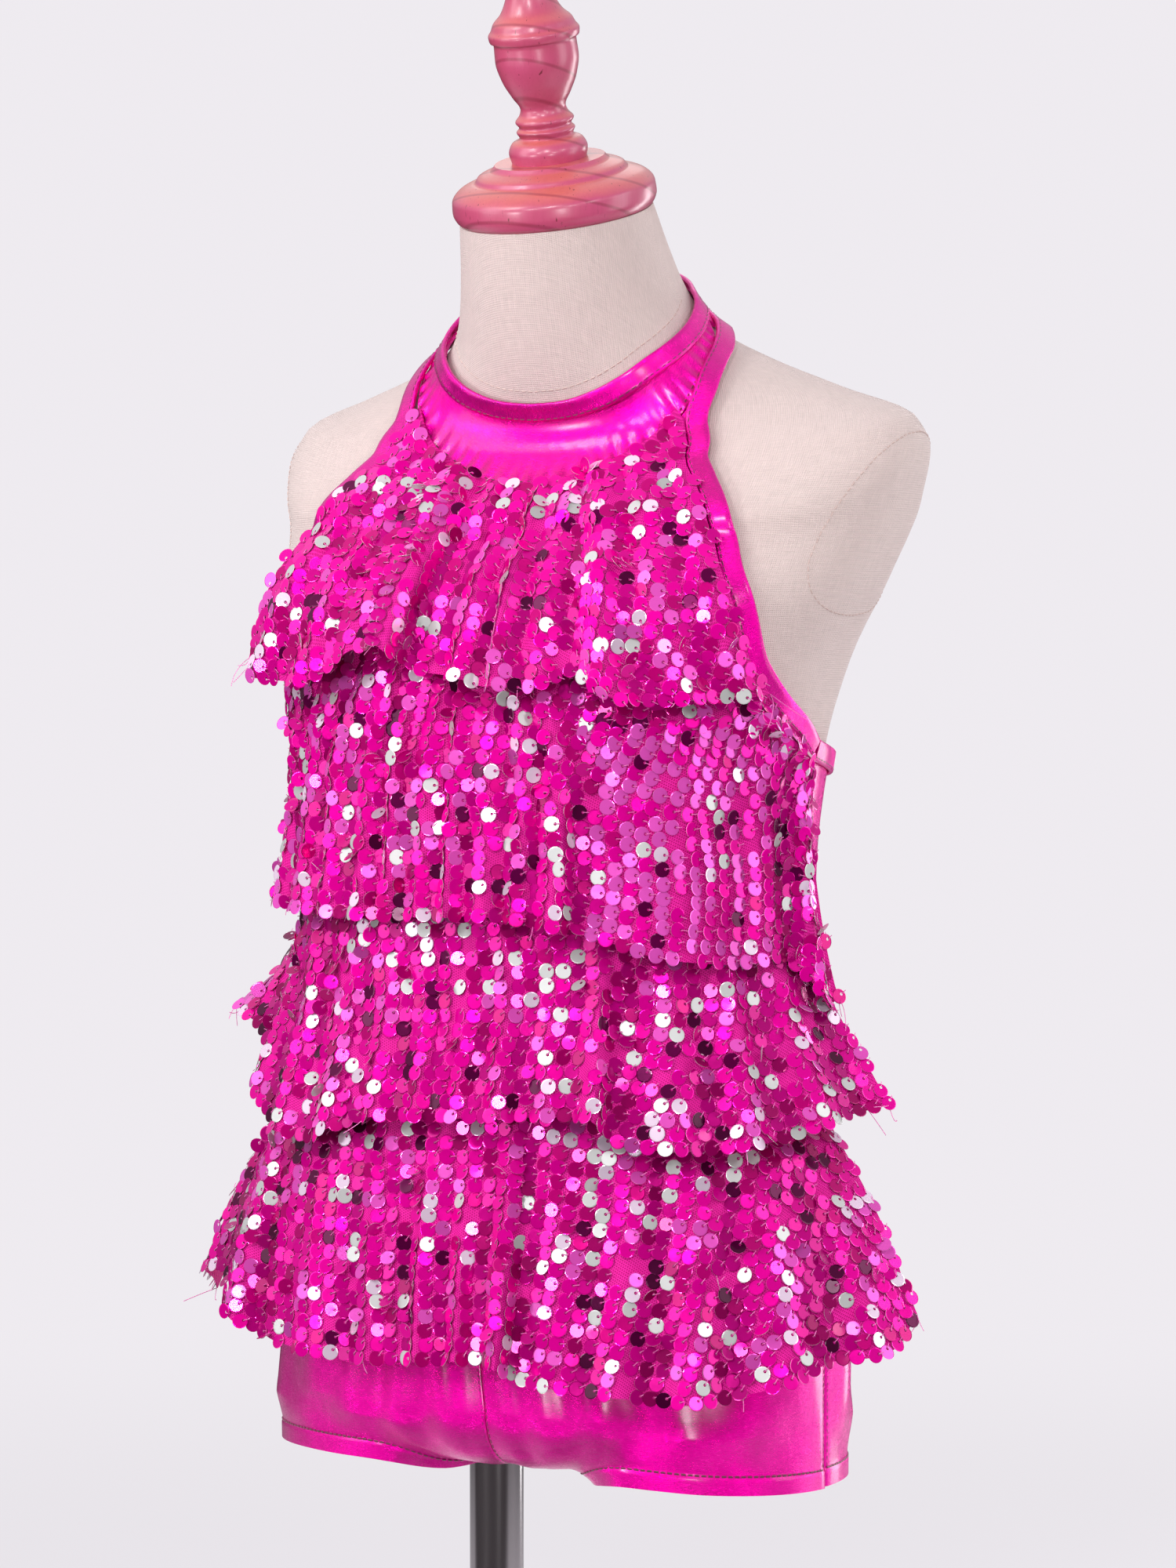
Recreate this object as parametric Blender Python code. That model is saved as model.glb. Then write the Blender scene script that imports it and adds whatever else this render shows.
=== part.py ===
"""Sequin leotard on a limbless dress form, built piece by piece, as it is cut and sewn.

A halter-neck stage leotard with short legs and four ruffle tiers, resting on a linen torso
with a turned wooden neck cap and finial, a pole and a round base. Sizes are in millimetres
here, and become metres when a mesh is made. +Z is up, +X is the form's left, the front
faces -Y, and the origin is under the middle of the base.

Cloth is placed on the form by three numbers: height, the level of the form's ring; angle,
0 at the front, 90 at the form's left and 180 at the back; and lift, out from the form.
"""

import math

import bmesh
import bpy
import numpy as np

MM = 0.001
SEAM_GAP = 0.3

# Cloth, in millimetres out from the form
EASE = 1.2
CLOTH = 1.1
PANEL_OUTER = EASE + CLOTH
TIER_INNER = PANEL_OUTER + 0.9
TIER_CLOTH = 1.1
TIER_OVER_TIER = 1.0
BINDING_LIFT = PANEL_OUTER + 0.6
BINDING_WIDTH = 8.5
BINDING_THICK = 1.9

# Form and stand
FORM_MIDDLE_X = 22.0
FORM_BOTTOM = 262.0
RIM_RADIUS = 22.0
RIM_TOP = FORM_BOTTOM + RIM_RADIUS
NECK_TOP = 761.0
CAP_LEAN = 14.6
POLE_RADIUS = 11.0
# Columns: height, radius, from the base's underside to the top of its collar
BASE_PROFILE = (
    (0, 134), (1, 135), (9, 135), (11, 134), (12, 132), (12, 21), (13.5, 19), (26, 16), (28, 14),
)

# Garment lines
WAIST = 395.0
UNDERARM = 545.0
SIDE = 90.0
NAPE_END = 176.0
YOKE_END = 101.0
BACK_TOP = 536.0
BACK_BINDING_SINK = 2.0
BACK_BINDING_RISE = 13.0
BINDING_END_GAP = 0.6
SIDE_RADIUS = 100.0
HALF_SEAM = math.degrees(SEAM_GAP / 2 / SIDE_RADIUS)
NAPE_TAB_ANGLES = (166, 194)
NAPE_TAB_HEIGHTS = (711, 726)
# Columns: rise, radius
SNAP_PROFILE = ((0.0, 4.6), (0.9, 4.8), (1.7, 4.1), (2.0, 2.6))
SNAP_SIDES = 14

# Columns: height, centre_y, lean, half_width, front, back, squareness
FORM_SECTIONS = (
    (262, 14, 0, 118, 72, 76, 2.4),
    (300, 15, 0, 118, 72, 78, 2.4),
    (340, 16, 0, 118, 75, 79, 2.3),
    (400, 18, 0, 110, 76, 72, 2.25),
    (450, 19, 0, 103, 75, 66, 2.25),
    (500, 19, 0, 104, 77, 68, 2.25),
    (545, 21, 1, 108, 80, 73, 2.3),
    (580, 26.5, 2, 116, 82.5, 73.5, 2.4),
    (615, 41, 4, 130, 89, 63, 2.4),
    (645, 56, 7, 138, 88, 50, 2.5),
    (664, 56, 10, 142, 73, 48, 2.5),
    (677, 54, 13, 137.5, 62, 44, 2.25),
    (687, 50, 15, 111, 56, 41, 2.0),
    (696, 44, 17, 85, 52, 40, 2.0),
    (706, 36, 18, 63, 49, 41, 2.0),
    (719, 28, 18, 50, 46, 43, 2.0),
    (740, 18.6, 17, 43, 42.5, 42.5, 2.0),
    (761, 10.8, 14.6, 39.3, 39.3, 39.3, 2.0),
)

# Columns: angle, height of the neck binding's upper edge
NECKLINE = (
    (0, 701), (15, 701.8), (30, 704.5), (45, 708.8), (55, 712.0), (70, 715.5),
    (85, 718.8), (98, 722), (110, 724.8), (120, 725.6), (150, 727), (180, 727.4),
)

# Columns: angle, height of the yoke's lower edge, which the armhole meets at the sides
YOKE_EDGE = (
    (0, 662.5), (10, 663.2), (20, 666.8), (34, 674.8), (47, 684), (54, 690.5),
    (62, 697), (69.5, 701), (80, 705.5), (91, 709.2), (101, 714),
)

# Columns: height, angle of the armhole binding's centre line, below the shoulder
ARMHOLE = (
    (541, 94), (547, 90), (555, 84.5), (566, 75.5), (582, 67), (598, 61.8), (612, 57.8),
    (630, 53), (651, 50), (670, 50), (679, 53), (690, 57),
)

# Columns: angle, height of the armhole binding's centre line, from the shoulder to the nape
ARMHOLE_TOP = (
    (57, 690), (63, 695.5), (70, 700.3), (80, 704.2), (91, 707), (101, 709.3),
    (115, 711.8), (135, 713), (180, 714),
)

# Columns: across, from -1 at the form's right edge to 1 at its left; hem height; flare
TIER_HEMS = {
    "tier_1": (
        (-1.0, 585, 17), (-0.9, 578, 16), (-0.78, 575, 15), (-0.62, 574, 14), (-0.46, 587, 13),
        (-0.3, 588, 13), (-0.16, 579, 11), (0.0, 577, 11), (0.15, 573, 11), (0.33, 573, 11),
        (0.46, 580, 9), (0.6, 569, 11), (0.8, 571, 9), (1.0, 573, 7),
    ),
    "tier_2": (
        (-1.0, 487, 19), (-0.92, 483, 15), (-0.8, 482, 11), (-0.45, 481, 10), (0.12, 483, 11),
        (0.3, 481, 11), (0.42, 476, 9), (0.6, 467, 9), (0.76, 464, 9), (0.86, 466, 8),
        (0.92, 457, 10), (0.96, 443, 14), (1.0, 447, 18),
    ),
    "tier_3": (
        (-1.0, 425, 45), (-0.93, 423, 27), (-0.86, 415, 16), (-0.76, 398, 13), (-0.62, 389, 13),
        (-0.5, 388, 13), (-0.42, 394, 13), (-0.28, 400, 12), (0.05, 402, 12), (0.42, 404, 12),
        (0.5, 393, 13), (0.67, 390, 15), (0.8, 392, 18), (0.92, 399, 25), (1.0, 401, 34),
    ),
    "tier_4": (
        (-1.0, 313, 41), (-0.93, 321, 32), (-0.82, 329, 23), (-0.75, 322, 19), (-0.68, 310, 17),
        (-0.6, 305, 16), (-0.3, 304, 15), (-0.1, 306, 15), (0.17, 308, 14), (0.25, 300, 15),
        (0.45, 297, 17), (0.65, 294, 20), (0.8, 302, 25), (0.87, 309, 28), (0.92, 310, 32),
        (0.96, 314, 36), (1.0, 325, 39),
    ),
}

# Columns: across, half width (of the same run), rise in millimetres at the hem
TIER_FOLDS = {
    "tier_1": (
        (-0.86, 0.06, 5), (-0.64, 0.06, 6), (-0.44, 0.07, 5), (-0.25, 0.08, 9), (0.03, 0.05, 4),
        (0.19, 0.05, 6), (0.36, 0.05, 4), (0.58, 0.06, 6), (0.77, 0.05, 3), (0.93, 0.04, 3),
    ),
    "tier_2": (
        (-0.9, 0.05, 5), (-0.75, 0.04, 5), (-0.6, 0.04, 4), (-0.47, 0.04, 5), (-0.35, 0.035, 4),
        (-0.24, 0.035, 5), (-0.13, 0.035, 4), (-0.02, 0.035, 5), (0.1, 0.035, 4), (0.22, 0.035, 5),
        (0.34, 0.04, 7), (0.6, 0.1, 4), (0.82, 0.05, 4), (0.94, 0.035, 6),
    ),
    "tier_3": (
        (-0.95, 0.04, 4), (-0.79, 0.05, 5), (-0.61, 0.045, 6), (-0.44, 0.04, 4), (-0.28, 0.04, 5),
        (-0.12, 0.035, 5), (0.02, 0.035, 4), (0.17, 0.04, 5), (0.31, 0.035, 4), (0.44, 0.04, 7),
        (0.6, 0.04, 5), (0.74, 0.04, 6), (0.87, 0.04, 6),
    ),
    "tier_4": (
        (-0.88, 0.05, 5), (-0.7, 0.045, 8), (-0.5, 0.05, 5), (-0.3, 0.045, 5), (-0.12, 0.035, 6),
        (0.03, 0.035, 5), (0.2, 0.04, 7), (0.36, 0.045, 5), (0.51, 0.045, 5), (0.65, 0.04, 7),
        (0.79, 0.04, 6), (0.92, 0.04, 6),
    ),
}

# Columns: name, height of the gathered top seam, power of the flare's curve
TIERS = (
    ("tier_1", None, 1.5),
    ("tier_2", 602.0, 2.6),
    ("tier_3", 498.0, 1.4),
    ("tier_4", 412.0, 1.1),
)
TIER_SIDE = 88.5
TIER_COLUMNS = 54
TIER_DOWN = {
    "tier_1": (0, 0.06, 0.13, 0.21, 0.31, 0.47, 0.7, 1.0),
    "tier_2": (0, 0.08, 0.17, 0.26, 0.36, 0.5, 0.74, 1.0),
    "tier_3": (0, 0.16, 0.36, 0.58, 0.8, 1.0),
    "tier_4": (0, 0.16, 0.36, 0.58, 0.8, 1.0),
}
TIER_EDGE_GAP = 1.2
GATHER_START = 0.12
FOLD_GROWTH = 0.9
TIER_HOLD = 6.0
TIER_SIDE_START = UNDERARM - 12

# Columns: degrees from the centre seam, turn under the form in degrees, length below the rim
LEG_OPENINGS = {
    "left_front": (
        (0, 90, 83), (13, 90, 83), (16, 90, 68), (19, 88, 54), (23, 66, 43), (29, 24, 34), (36, 0, 29.5),
        (48, 0, 29), (88, 0, 33),
    ),
    "right_front": (
        (0, 90, 83), (9, 90, 83), (12, 90, 70), (16, 89, 56), (22, 74, 43), (30, 30, 28), (40, 4, 24),
        (60, 0, 24), (88, 0, 26),
    ),
    "left_back": (
        (0, 90, 91), (13, 90, 91), (16, 90, 72), (19, 88, 55), (25, 66, 43), (33, 28, 36), (46, 0, 32),
    ),
    "right_back": (
        (0, 90, 91), (9, 90, 91), (12, 90, 74), (16, 89, 57), (23, 74, 45), (34, 36, 35), (50, 4, 28),
        (58, 0, 27),
    ),
}
# Columns: height, sideways place of the centre seam from the form's middle
CENTRE_SEAM = ((262, 9), (284, 6), (303, 3.5), (340, 1), (395, 0))
CROTCH_SLIDE = 4.0
CROTCH_SLIDE_RUN = 20.0
SHORTS_NEAR_SEAM = (0, 9, 12.5, 16, 19, 23, 29, 36)
SHORTS_TO_SIDE = 7
SHORTS_ABOVE_RIM = (0, 0.35, 0.7)
SHORTS_BELOW_RIM = (0, 0.09, 0.18, 0.27, 0.36, 0.46, 0.62, 0.8, 1.0)

# Columns: height above the linen, radius, from the underside of the cap to the tip
FINIAL_BASE_TOP = 22.2
CAP_PROFILE = (
    (0.0, 38.6), (1.6, 40.3), (5.0, 41.5), (9.4, 41.2), (13.2, 38.2), (15.6, 32.6),
    (16.0, 31.2), (18.0, 29.8), (19.8, 25.4), (20.2, 24.2), (22.2, 22.4),
)
FINIAL_PROFILE = (
    (0.0, 15.2), (4.0, 16.0), (7.8, 14.4), (10.0, 10.9), (12.2, 11.9), (14.0, 10.6),
    (16.2, 11.9), (19.2, 9.8), (21.4, 9.2), (26.4, 11.8), (33.6, 15.2), (41.4, 16.9), (48.2, 16.7),
    (49.4, 18.1), (51.8, 18.5), (54.0, 17.2), (56.6, 16.0), (60.2, 12.6), (65.6, 9.9),
    (71.6, 8.1), (77.6, 6.5), (81.6, 4.4), (82.8, 2.4),
)
TURNED_SIDES = 18
FORM_SIDES = 40
FORM_RINGS = (
    262, 263, 266.5, 273, 284, 340, 395, 450, 500, 541, 555, 568, 582, 607, 628, 645, 658,
    669, 677, 684, 690, 696, 702, 709, 718, 730, 745, 761,
)
ARMHOLE_LEVELS = (
    688, 682, 676, 670, 663, 656, 648, 640, 630, 620, 610, 601, 592, 584, 576, 568, 560, 553.5, 548.2,
)
BODICE_LEVELS = (450, 500, 541, 555, 568, 582, 607, 628)
BODICE_TOP_SHARES = (0.2, 0.4, 0.58, 0.74, 0.88, 1.0)
BACK_LEVELS = (450, 500)


def make_curve(rows):
    """Smooth curve through a short table: first column in, the other columns out."""
    table = np.array(rows, float)
    at, values = table[:, 0], table[:, 1:]
    step = np.diff(at)[:, None]
    rise = np.diff(values, axis=0) / step
    slope = np.zeros_like(values)
    slope[0], slope[-1] = rise[0], rise[-1]
    same_way = rise[:-1] * rise[1:] > 0
    before, after = step[:-1], step[1:]
    safe_low = np.where(same_way, rise[:-1], 1.0)
    safe_high = np.where(same_way, rise[1:], 1.0)
    blend = 3 * (before + after) / ((2 * after + before) / safe_low + (after + 2 * before) / safe_high)
    slope[1:-1] = np.where(same_way, blend, 0.0)

    def curve(x):
        x = np.clip(np.asarray(x, float), at[0], at[-1])
        i = np.clip(np.searchsorted(at, x, side="right") - 1, 0, len(at) - 2)
        width = (at[i + 1] - at[i])[..., None]
        t = ((x - at[i])[..., None]) / width
        value = (
            (2 * t**3 - 3 * t**2 + 1) * values[i]
            + (t**3 - 2 * t**2 + t) * width * slope[i]
            + (-2 * t**3 + 3 * t**2) * values[i + 1]
            + (t**3 - t**2) * width * slope[i + 1]
        )
        return value[..., 0] if value.shape[-1] == 1 else value

    return curve


form_section = make_curve(FORM_SECTIONS)
neckline = make_curve(NECKLINE)
yoke_edge = make_curve(YOKE_EDGE)
armhole = make_curve(ARMHOLE)
armhole_top = make_curve(ARMHOLE_TOP)
centre_seam = make_curve(CENTRE_SEAM)
tier_hem = {name: make_curve(rows) for name, rows in TIER_HEMS.items()}


def form_point(height, angle, rounded=False):
    """Point of the form's ring at a height, at an angle from the front, in millimetres."""
    height, angle = np.broadcast_arrays(np.asarray(height, float), np.radians(angle))
    row = form_section(height)
    centre_y, lean, half, front, back, square = (row[..., k] for k in range(6))
    if rounded:
        drop = np.clip(RIM_TOP - height, 0, RIM_RADIUS)
        inset = RIM_RADIUS - np.sqrt(RIM_RADIUS**2 - drop**2)
        half, front, back = half - inset, front - inset, back - inset
    depth = np.where(np.cos(angle) >= 0, front, back)
    reach = (np.abs(np.cos(angle)) / depth) ** square + (np.abs(np.sin(angle)) / half) ** square
    reach = reach ** (-1 / square)
    back_from_middle = -reach * np.cos(angle)
    tilt = np.radians(lean)
    x = FORM_MIDDLE_X + reach * np.sin(angle)
    y = centre_y + back_from_middle * np.cos(tilt)
    z = height + back_from_middle * np.sin(tilt)
    return np.stack([x, y, z], axis=-1)


def form_normal(height, angle):
    """Unit vector straight out of the form."""
    turn, climb = 1.0, 1.5
    height = np.asarray(height, float)
    low = np.clip(height - climb, FORM_SECTIONS[0][0], NECK_TOP)
    high = np.clip(height + climb, FORM_SECTIONS[0][0], NECK_TOP)
    around = form_point(height, angle + turn) - form_point(height, angle - turn)
    upward = form_point(high, angle) - form_point(low, angle)
    out = np.cross(around, upward)
    return out / np.linalg.norm(out, axis=-1, keepdims=True)


def cloth_point(height, angle, lift):
    """Point at a lift over the form."""
    height, angle, lift = np.broadcast_arrays(height, angle, lift)
    return form_point(height, angle) + form_normal(height, angle) * lift[..., None]


def angle_of(height, sideways):
    """Angle of the front point that lies a distance sideways from the form's middle."""
    row = form_section(height)
    half, front, square = row[..., 2], row[..., 3], row[..., 5]
    ratio = np.clip(np.abs(sideways) / half, 0, 1)
    depth = front * (1 - ratio**square) ** (1 / square)
    return np.degrees(np.arctan2(sideways, depth))


def new_material(name, colour, roughness, metallic=0.0):
    material = bpy.data.materials.new(name)
    material.use_nodes = True
    shader = material.node_tree.nodes["Principled BSDF"]
    shader.inputs["Base Color"].default_value = (*colour, 1.0)
    shader.inputs["Roughness"].default_value = roughness
    shader.inputs["Metallic"].default_value = metallic
    return material


def new_piece(name, points, faces, material, sharp=40.0):
    """Mesh object from points in millimetres, with its faces turned outward."""
    mesh = bpy.data.meshes.new(name)
    mesh.from_pydata((np.asarray(points) * MM).tolist(), [], faces)
    work = bmesh.new()
    work.from_mesh(mesh)
    bmesh.ops.recalc_face_normals(work, faces=work.faces)
    work.to_mesh(mesh)
    work.free()
    mesh.shade_smooth()
    mesh.set_sharp_from_angle(angle=math.radians(sharp))
    mesh.materials.append(material)
    piece = bpy.data.objects.new(name, mesh)
    bpy.context.scene.collection.objects.link(piece)
    return piece


def new_wall(name, outer, inner, material):
    """Closed cloth wall between two grids of points, rows by columns."""
    rows, columns = outer.shape[:2]
    count = rows * columns
    points = np.concatenate([outer.reshape(-1, 3), inner.reshape(-1, 3)])
    faces = []
    for i in range(rows - 1):
        for j in range(columns - 1):
            a, b = i * columns + j, i * columns + j + 1
            c, d = b + columns, a + columns
            if np.linalg.norm(points[a] - points[c]) > np.linalg.norm(points[b] - points[d]):
                a, b, c, d = b, c, d, a
            faces += [(a, b, c), (a, c, d)]
            faces += [(a + count, c + count, b + count), (a + count, d + count, c + count)]
    border = [j for j in range(columns)]
    border += [i * columns + columns - 1 for i in range(1, rows)]
    border += [(rows - 1) * columns + j for j in range(columns - 2, -1, -1)]
    border += [i * columns for i in range(rows - 2, 0, -1)]
    for a, b in zip(border, border[1:] + border[:1]):
        faces += [(a, a + count, b + count), (a, b + count, b)]
    return new_piece(name, points, faces, material)


def new_tube(name, rings, material):
    """Closed solid through rings of points, with a flat face at each end."""
    rings = np.asarray(rings)
    count, sides = rings.shape[:2]
    faces = [tuple(range(sides)), tuple(range((count - 1) * sides, count * sides))[::-1]]
    for i in range(count - 1):
        for j in range(sides):
            k = (j + 1) % sides
            a, b, c, d = i * sides + j, i * sides + k, (i + 1) * sides + k, (i + 1) * sides + j
            faces += [(a, d, c, b)]
    return new_piece(name, rings.reshape(-1, 3), faces, material)


def new_turned(name, profile, centre, lean, material, sides=TURNED_SIDES):
    """Turned solid: profile rows of height and radius, about an axis leaning to the front."""
    turn = np.arange(sides) * 2 * np.pi / sides
    tilt = math.radians(lean)
    rings = []
    for height, radius in profile:
        x, y = radius * np.sin(turn), -radius * np.cos(turn)
        ring = np.stack([
            centre[0] + x,
            centre[1] + y * math.cos(tilt) - height * math.sin(tilt),
            centre[2] + y * math.sin(tilt) + height * math.cos(tilt),
        ], axis=-1)
        rings.append(ring)
    return new_tube(name, rings, material)


def build_form(linen):
    angles = np.arange(FORM_SIDES) * 360 / FORM_SIDES
    rings = [form_point(np.full(FORM_SIDES, float(h)), angles, rounded=True) for h in FORM_RINGS]
    new_tube("form_torso", rings, linen)


def along_neck_axis(rise):
    """Point on the leaning axis of the cap and finial, a rise above the linen."""
    tilt = math.radians(CAP_LEAN)
    centre_y = FORM_SECTIONS[-1][1]
    return (FORM_MIDDLE_X, centre_y - rise * math.sin(tilt), NECK_TOP + rise * math.cos(tilt))


def build_cap_and_finial(wood):
    new_turned("neck_cap", CAP_PROFILE, along_neck_axis(SEAM_GAP), CAP_LEAN, wood)
    seat = FINIAL_BASE_TOP + 2 * SEAM_GAP
    new_turned("finial", FINIAL_PROFILE, along_neck_axis(seat), CAP_LEAN, wood, sides=16)


def build_stand(chrome):
    new_turned("base", BASE_PROFILE, (0, 0, 0), 0, chrome, sides=26)
    foot = BASE_PROFILE[-1][0] + SEAM_GAP
    pole = ((foot, POLE_RADIUS), (FORM_BOTTOM - SEAM_GAP, POLE_RADIUS))
    new_turned("pole", pole, (0, 0, 0), 0, chrome, sides=20)


def build_yoke(foil):
    """Crescent between the neck and the first tier, its ends beside the neck."""
    angles = np.linspace(-YOKE_END, YOKE_END, 33)
    top = neckline(np.abs(angles)) - BINDING_WIDTH / 2
    low = yoke_edge(np.abs(angles)) + SEAM_GAP
    share = np.linspace(0, 1, 5)[:, None]
    height = low + (top - low) * share
    angle = np.broadcast_to(angles, height.shape)
    new_wall("yoke", cloth_point(height, angle, PANEL_OUTER), cloth_point(height, angle, EASE), foil)


def build_bodice(foil):
    """Front panel under the tiers, and the back panel below its bound top edge."""
    across = np.linspace(-1, 1, 25)
    side = SIDE - HALF_SEAM
    top = np.array([yoke_height(abs(u)) for u in across]) - SEAM_GAP
    bottom = np.full_like(top, WAIST + SEAM_GAP / 2)
    level = [bottom] + [np.full_like(top, h) for h in BODICE_LEVELS]
    level += [BODICE_LEVELS[-1] + (top - BODICE_LEVELS[-1]) * share for share in BODICE_TOP_SHARES]
    height = np.stack(level)
    edge = np.where(height < UNDERARM, side, np.minimum(armhole(height), side))
    angle = across * edge
    grid = [cloth_point(height, angle, lift) for lift in (PANEL_OUTER, EASE)]
    new_wall("bodice_front", grid[0], grid[1], foil)

    angles = np.linspace(SIDE + HALF_SEAM, 360 - SIDE - HALF_SEAM, 25)
    level = np.array((WAIST + SEAM_GAP / 2,) + BACK_LEVELS + (BACK_TOP,))[:, None]
    height, angle = np.broadcast_arrays(level, angles)
    grid = [cloth_point(height, angle, lift) for lift in (PANEL_OUTER, EASE)]
    new_wall("bodice_back", grid[0], grid[1], foil)


def yoke_height(across):
    """Height where a column of the front panel meets the yoke."""
    height = 680.0
    for _ in range(30):
        height = 0.5 * height + 0.5 * float(yoke_edge(across * armhole(height)))
    return height


def beside_line(heights, angles, apart):
    """Line on the form that runs beside another at a distance, to the right of its run."""
    step = 0.5
    centre = form_point(heights, angles)
    upward = (form_point(heights + step, angles) - form_point(heights - step, angles)) / (2 * step)
    around = (form_point(heights, angles + step) - form_point(heights, angles - step)) / (2 * step)
    across = np.cross(form_normal(heights, angles), np.gradient(centre, axis=0))
    across /= np.linalg.norm(across, axis=-1, keepdims=True)
    uu, ua, aa = (upward * upward).sum(-1), (upward * around).sum(-1), (around * around).sum(-1)
    cu, ca = (across * upward).sum(-1), (across * around).sum(-1)
    spread = uu * aa - ua * ua
    return heights + apart * (cu * aa - ca * ua) / spread, angles + apart * (ca * uu - cu * ua) / spread


def binding_rings(heights, angles, lift):
    """Flat folded strip along a line on the form: one ring of points for each place on it."""
    half, thick = BINDING_WIDTH / 2, BINDING_THICK
    section = (
        (-half + 0.5, 0), (-half, 0.6), (-half + 0.6, thick), (0, thick),
        (half - 0.6, thick), (half, 0.6), (half - 0.5, 0), (0, 0),
    )
    rings = []
    for apart, rise in section:
        height, angle = beside_line(heights, angles, apart)
        rings.append(cloth_point(height, angle, lift + rise))
    return np.stack(rings, axis=1)


def strap_lift(angles):
    """Lift of the bindings: over the yoke in front, and down on the neck behind its ends."""
    return np.interp(np.abs(angles), (YOKE_END + 1, YOKE_END + 12), (BINDING_LIFT, EASE))


def armhole_path(mirror):
    """Heights and angles of the armhole line, from the nape to the side seam."""
    upper = np.concatenate([np.linspace(NAPE_END, 110, 8), np.linspace(102, 60, 9)])
    lower = np.array(ARMHOLE_LEVELS)
    heights = np.concatenate([armhole_top(upper), lower])
    angles = np.concatenate([upper, armhole(lower)])
    return heights, mirror * angles


def build_bindings(foil):
    angles = np.linspace(-NAPE_END, NAPE_END, 41)
    heights = neckline(np.abs(angles)) - BINDING_WIDTH / 2
    new_tube("neck_binding", binding_rings(heights, angles, strap_lift(angles)), foil)
    for side, mirror in (("left", 1), ("right", -1)):
        heights, angles = armhole_path(mirror)
        rings = binding_rings(heights, angles, strap_lift(angles))
        new_tube(f"armhole_binding_{side}", rings, foil)
    angles = np.linspace(SIDE + BINDING_END_GAP, 360 - SIDE - BINDING_END_GAP, 33)
    to_side = np.abs(angles - 180) / (180 - SIDE)
    heights = BACK_TOP - BACK_BINDING_SINK + BACK_BINDING_RISE * to_side**4
    new_tube("back_binding", binding_rings(heights, angles, BINDING_LIFT), foil)


def tier_top(name, seam, across):
    """Height of a tier's gathered top edge."""
    if seam is None:
        return np.vectorize(yoke_height)(np.abs(across)) - SEAM_GAP
    return np.full_like(across, seam)


def inner_armhole():
    """Curve of height to angle, just inside the armhole binding."""
    heights = np.linspace(ARMHOLE[-1][0], ARMHOLE[0][0], 40)
    inner_height, inner_angle = beside_line(heights, armhole(heights), -(BINDING_WIDTH / 2 + TIER_EDGE_GAP))
    order = np.argsort(inner_height)
    return inner_height[order], inner_angle[order]


def tier_edge(name, height):
    """Angle of a tier's side edge, just inside the armhole binding or at the side seam."""
    if name in ("tier_3", "tier_4"):
        return np.full_like(height, TIER_SIDE)
    along_armhole = np.interp(height, *inner_armhole())
    return np.where(height < TIER_SIDE_START, TIER_SIDE, np.minimum(along_armhole, TIER_SIDE))


def tier_lift(order, height, across):
    """Lift of a tier's inner side: its flare, its folds, and clear of the tier below."""
    name, seam, power = TIERS[order]
    top = tier_top(name, seam, across)
    hem = tier_hem[name](across)
    down = np.clip((top - height) / (top - hem[..., 0]), 0, 1)
    lift = TIER_INNER + hem[..., 1] * down**power
    ramp = np.clip((down - GATHER_START) / (1 - GATHER_START), 0, 1) ** FOLD_GROWTH
    for at, width, rise in TIER_FOLDS[name]:
        lift = lift + rise * ramp * np.exp(-(((across - at) / width) ** 2))
    if order + 1 < len(TIERS):
        below, below_seam, _ = TIERS[order + 1]
        angle = across * tier_edge(name, height)
        below_across = np.clip(angle / tier_edge(below, height), -1, 1)
        under = tier_lift(order + 1, height, below_across) + TIER_CLOTH + TIER_OVER_TIER
        near = np.clip((below_seam + TIER_HOLD - height) / TIER_HOLD, 0, 1)
        lift = np.where(near > 0, np.maximum(lift, TIER_INNER + (under - TIER_INNER) * near), lift)
    return lift


def build_tiers(sequin_net):
    for order, (name, seam, _) in enumerate(TIERS):
        across = np.linspace(-1, 1, TIER_COLUMNS + 1)
        top = tier_top(name, seam, across)
        hem = tier_hem[name](across)[..., 0]
        down = np.array(TIER_DOWN[name])[:, None]
        height = top + (hem - top) * down
        across = np.broadcast_to(across, height.shape)
        angle = across * tier_edge(name, height)
        lift = tier_lift(order, height, across)
        outer = cloth_point(height, angle, lift + TIER_CLOTH)
        inner = cloth_point(height, angle, lift)
        new_wall(name, outer, inner, sequin_net)


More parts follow.
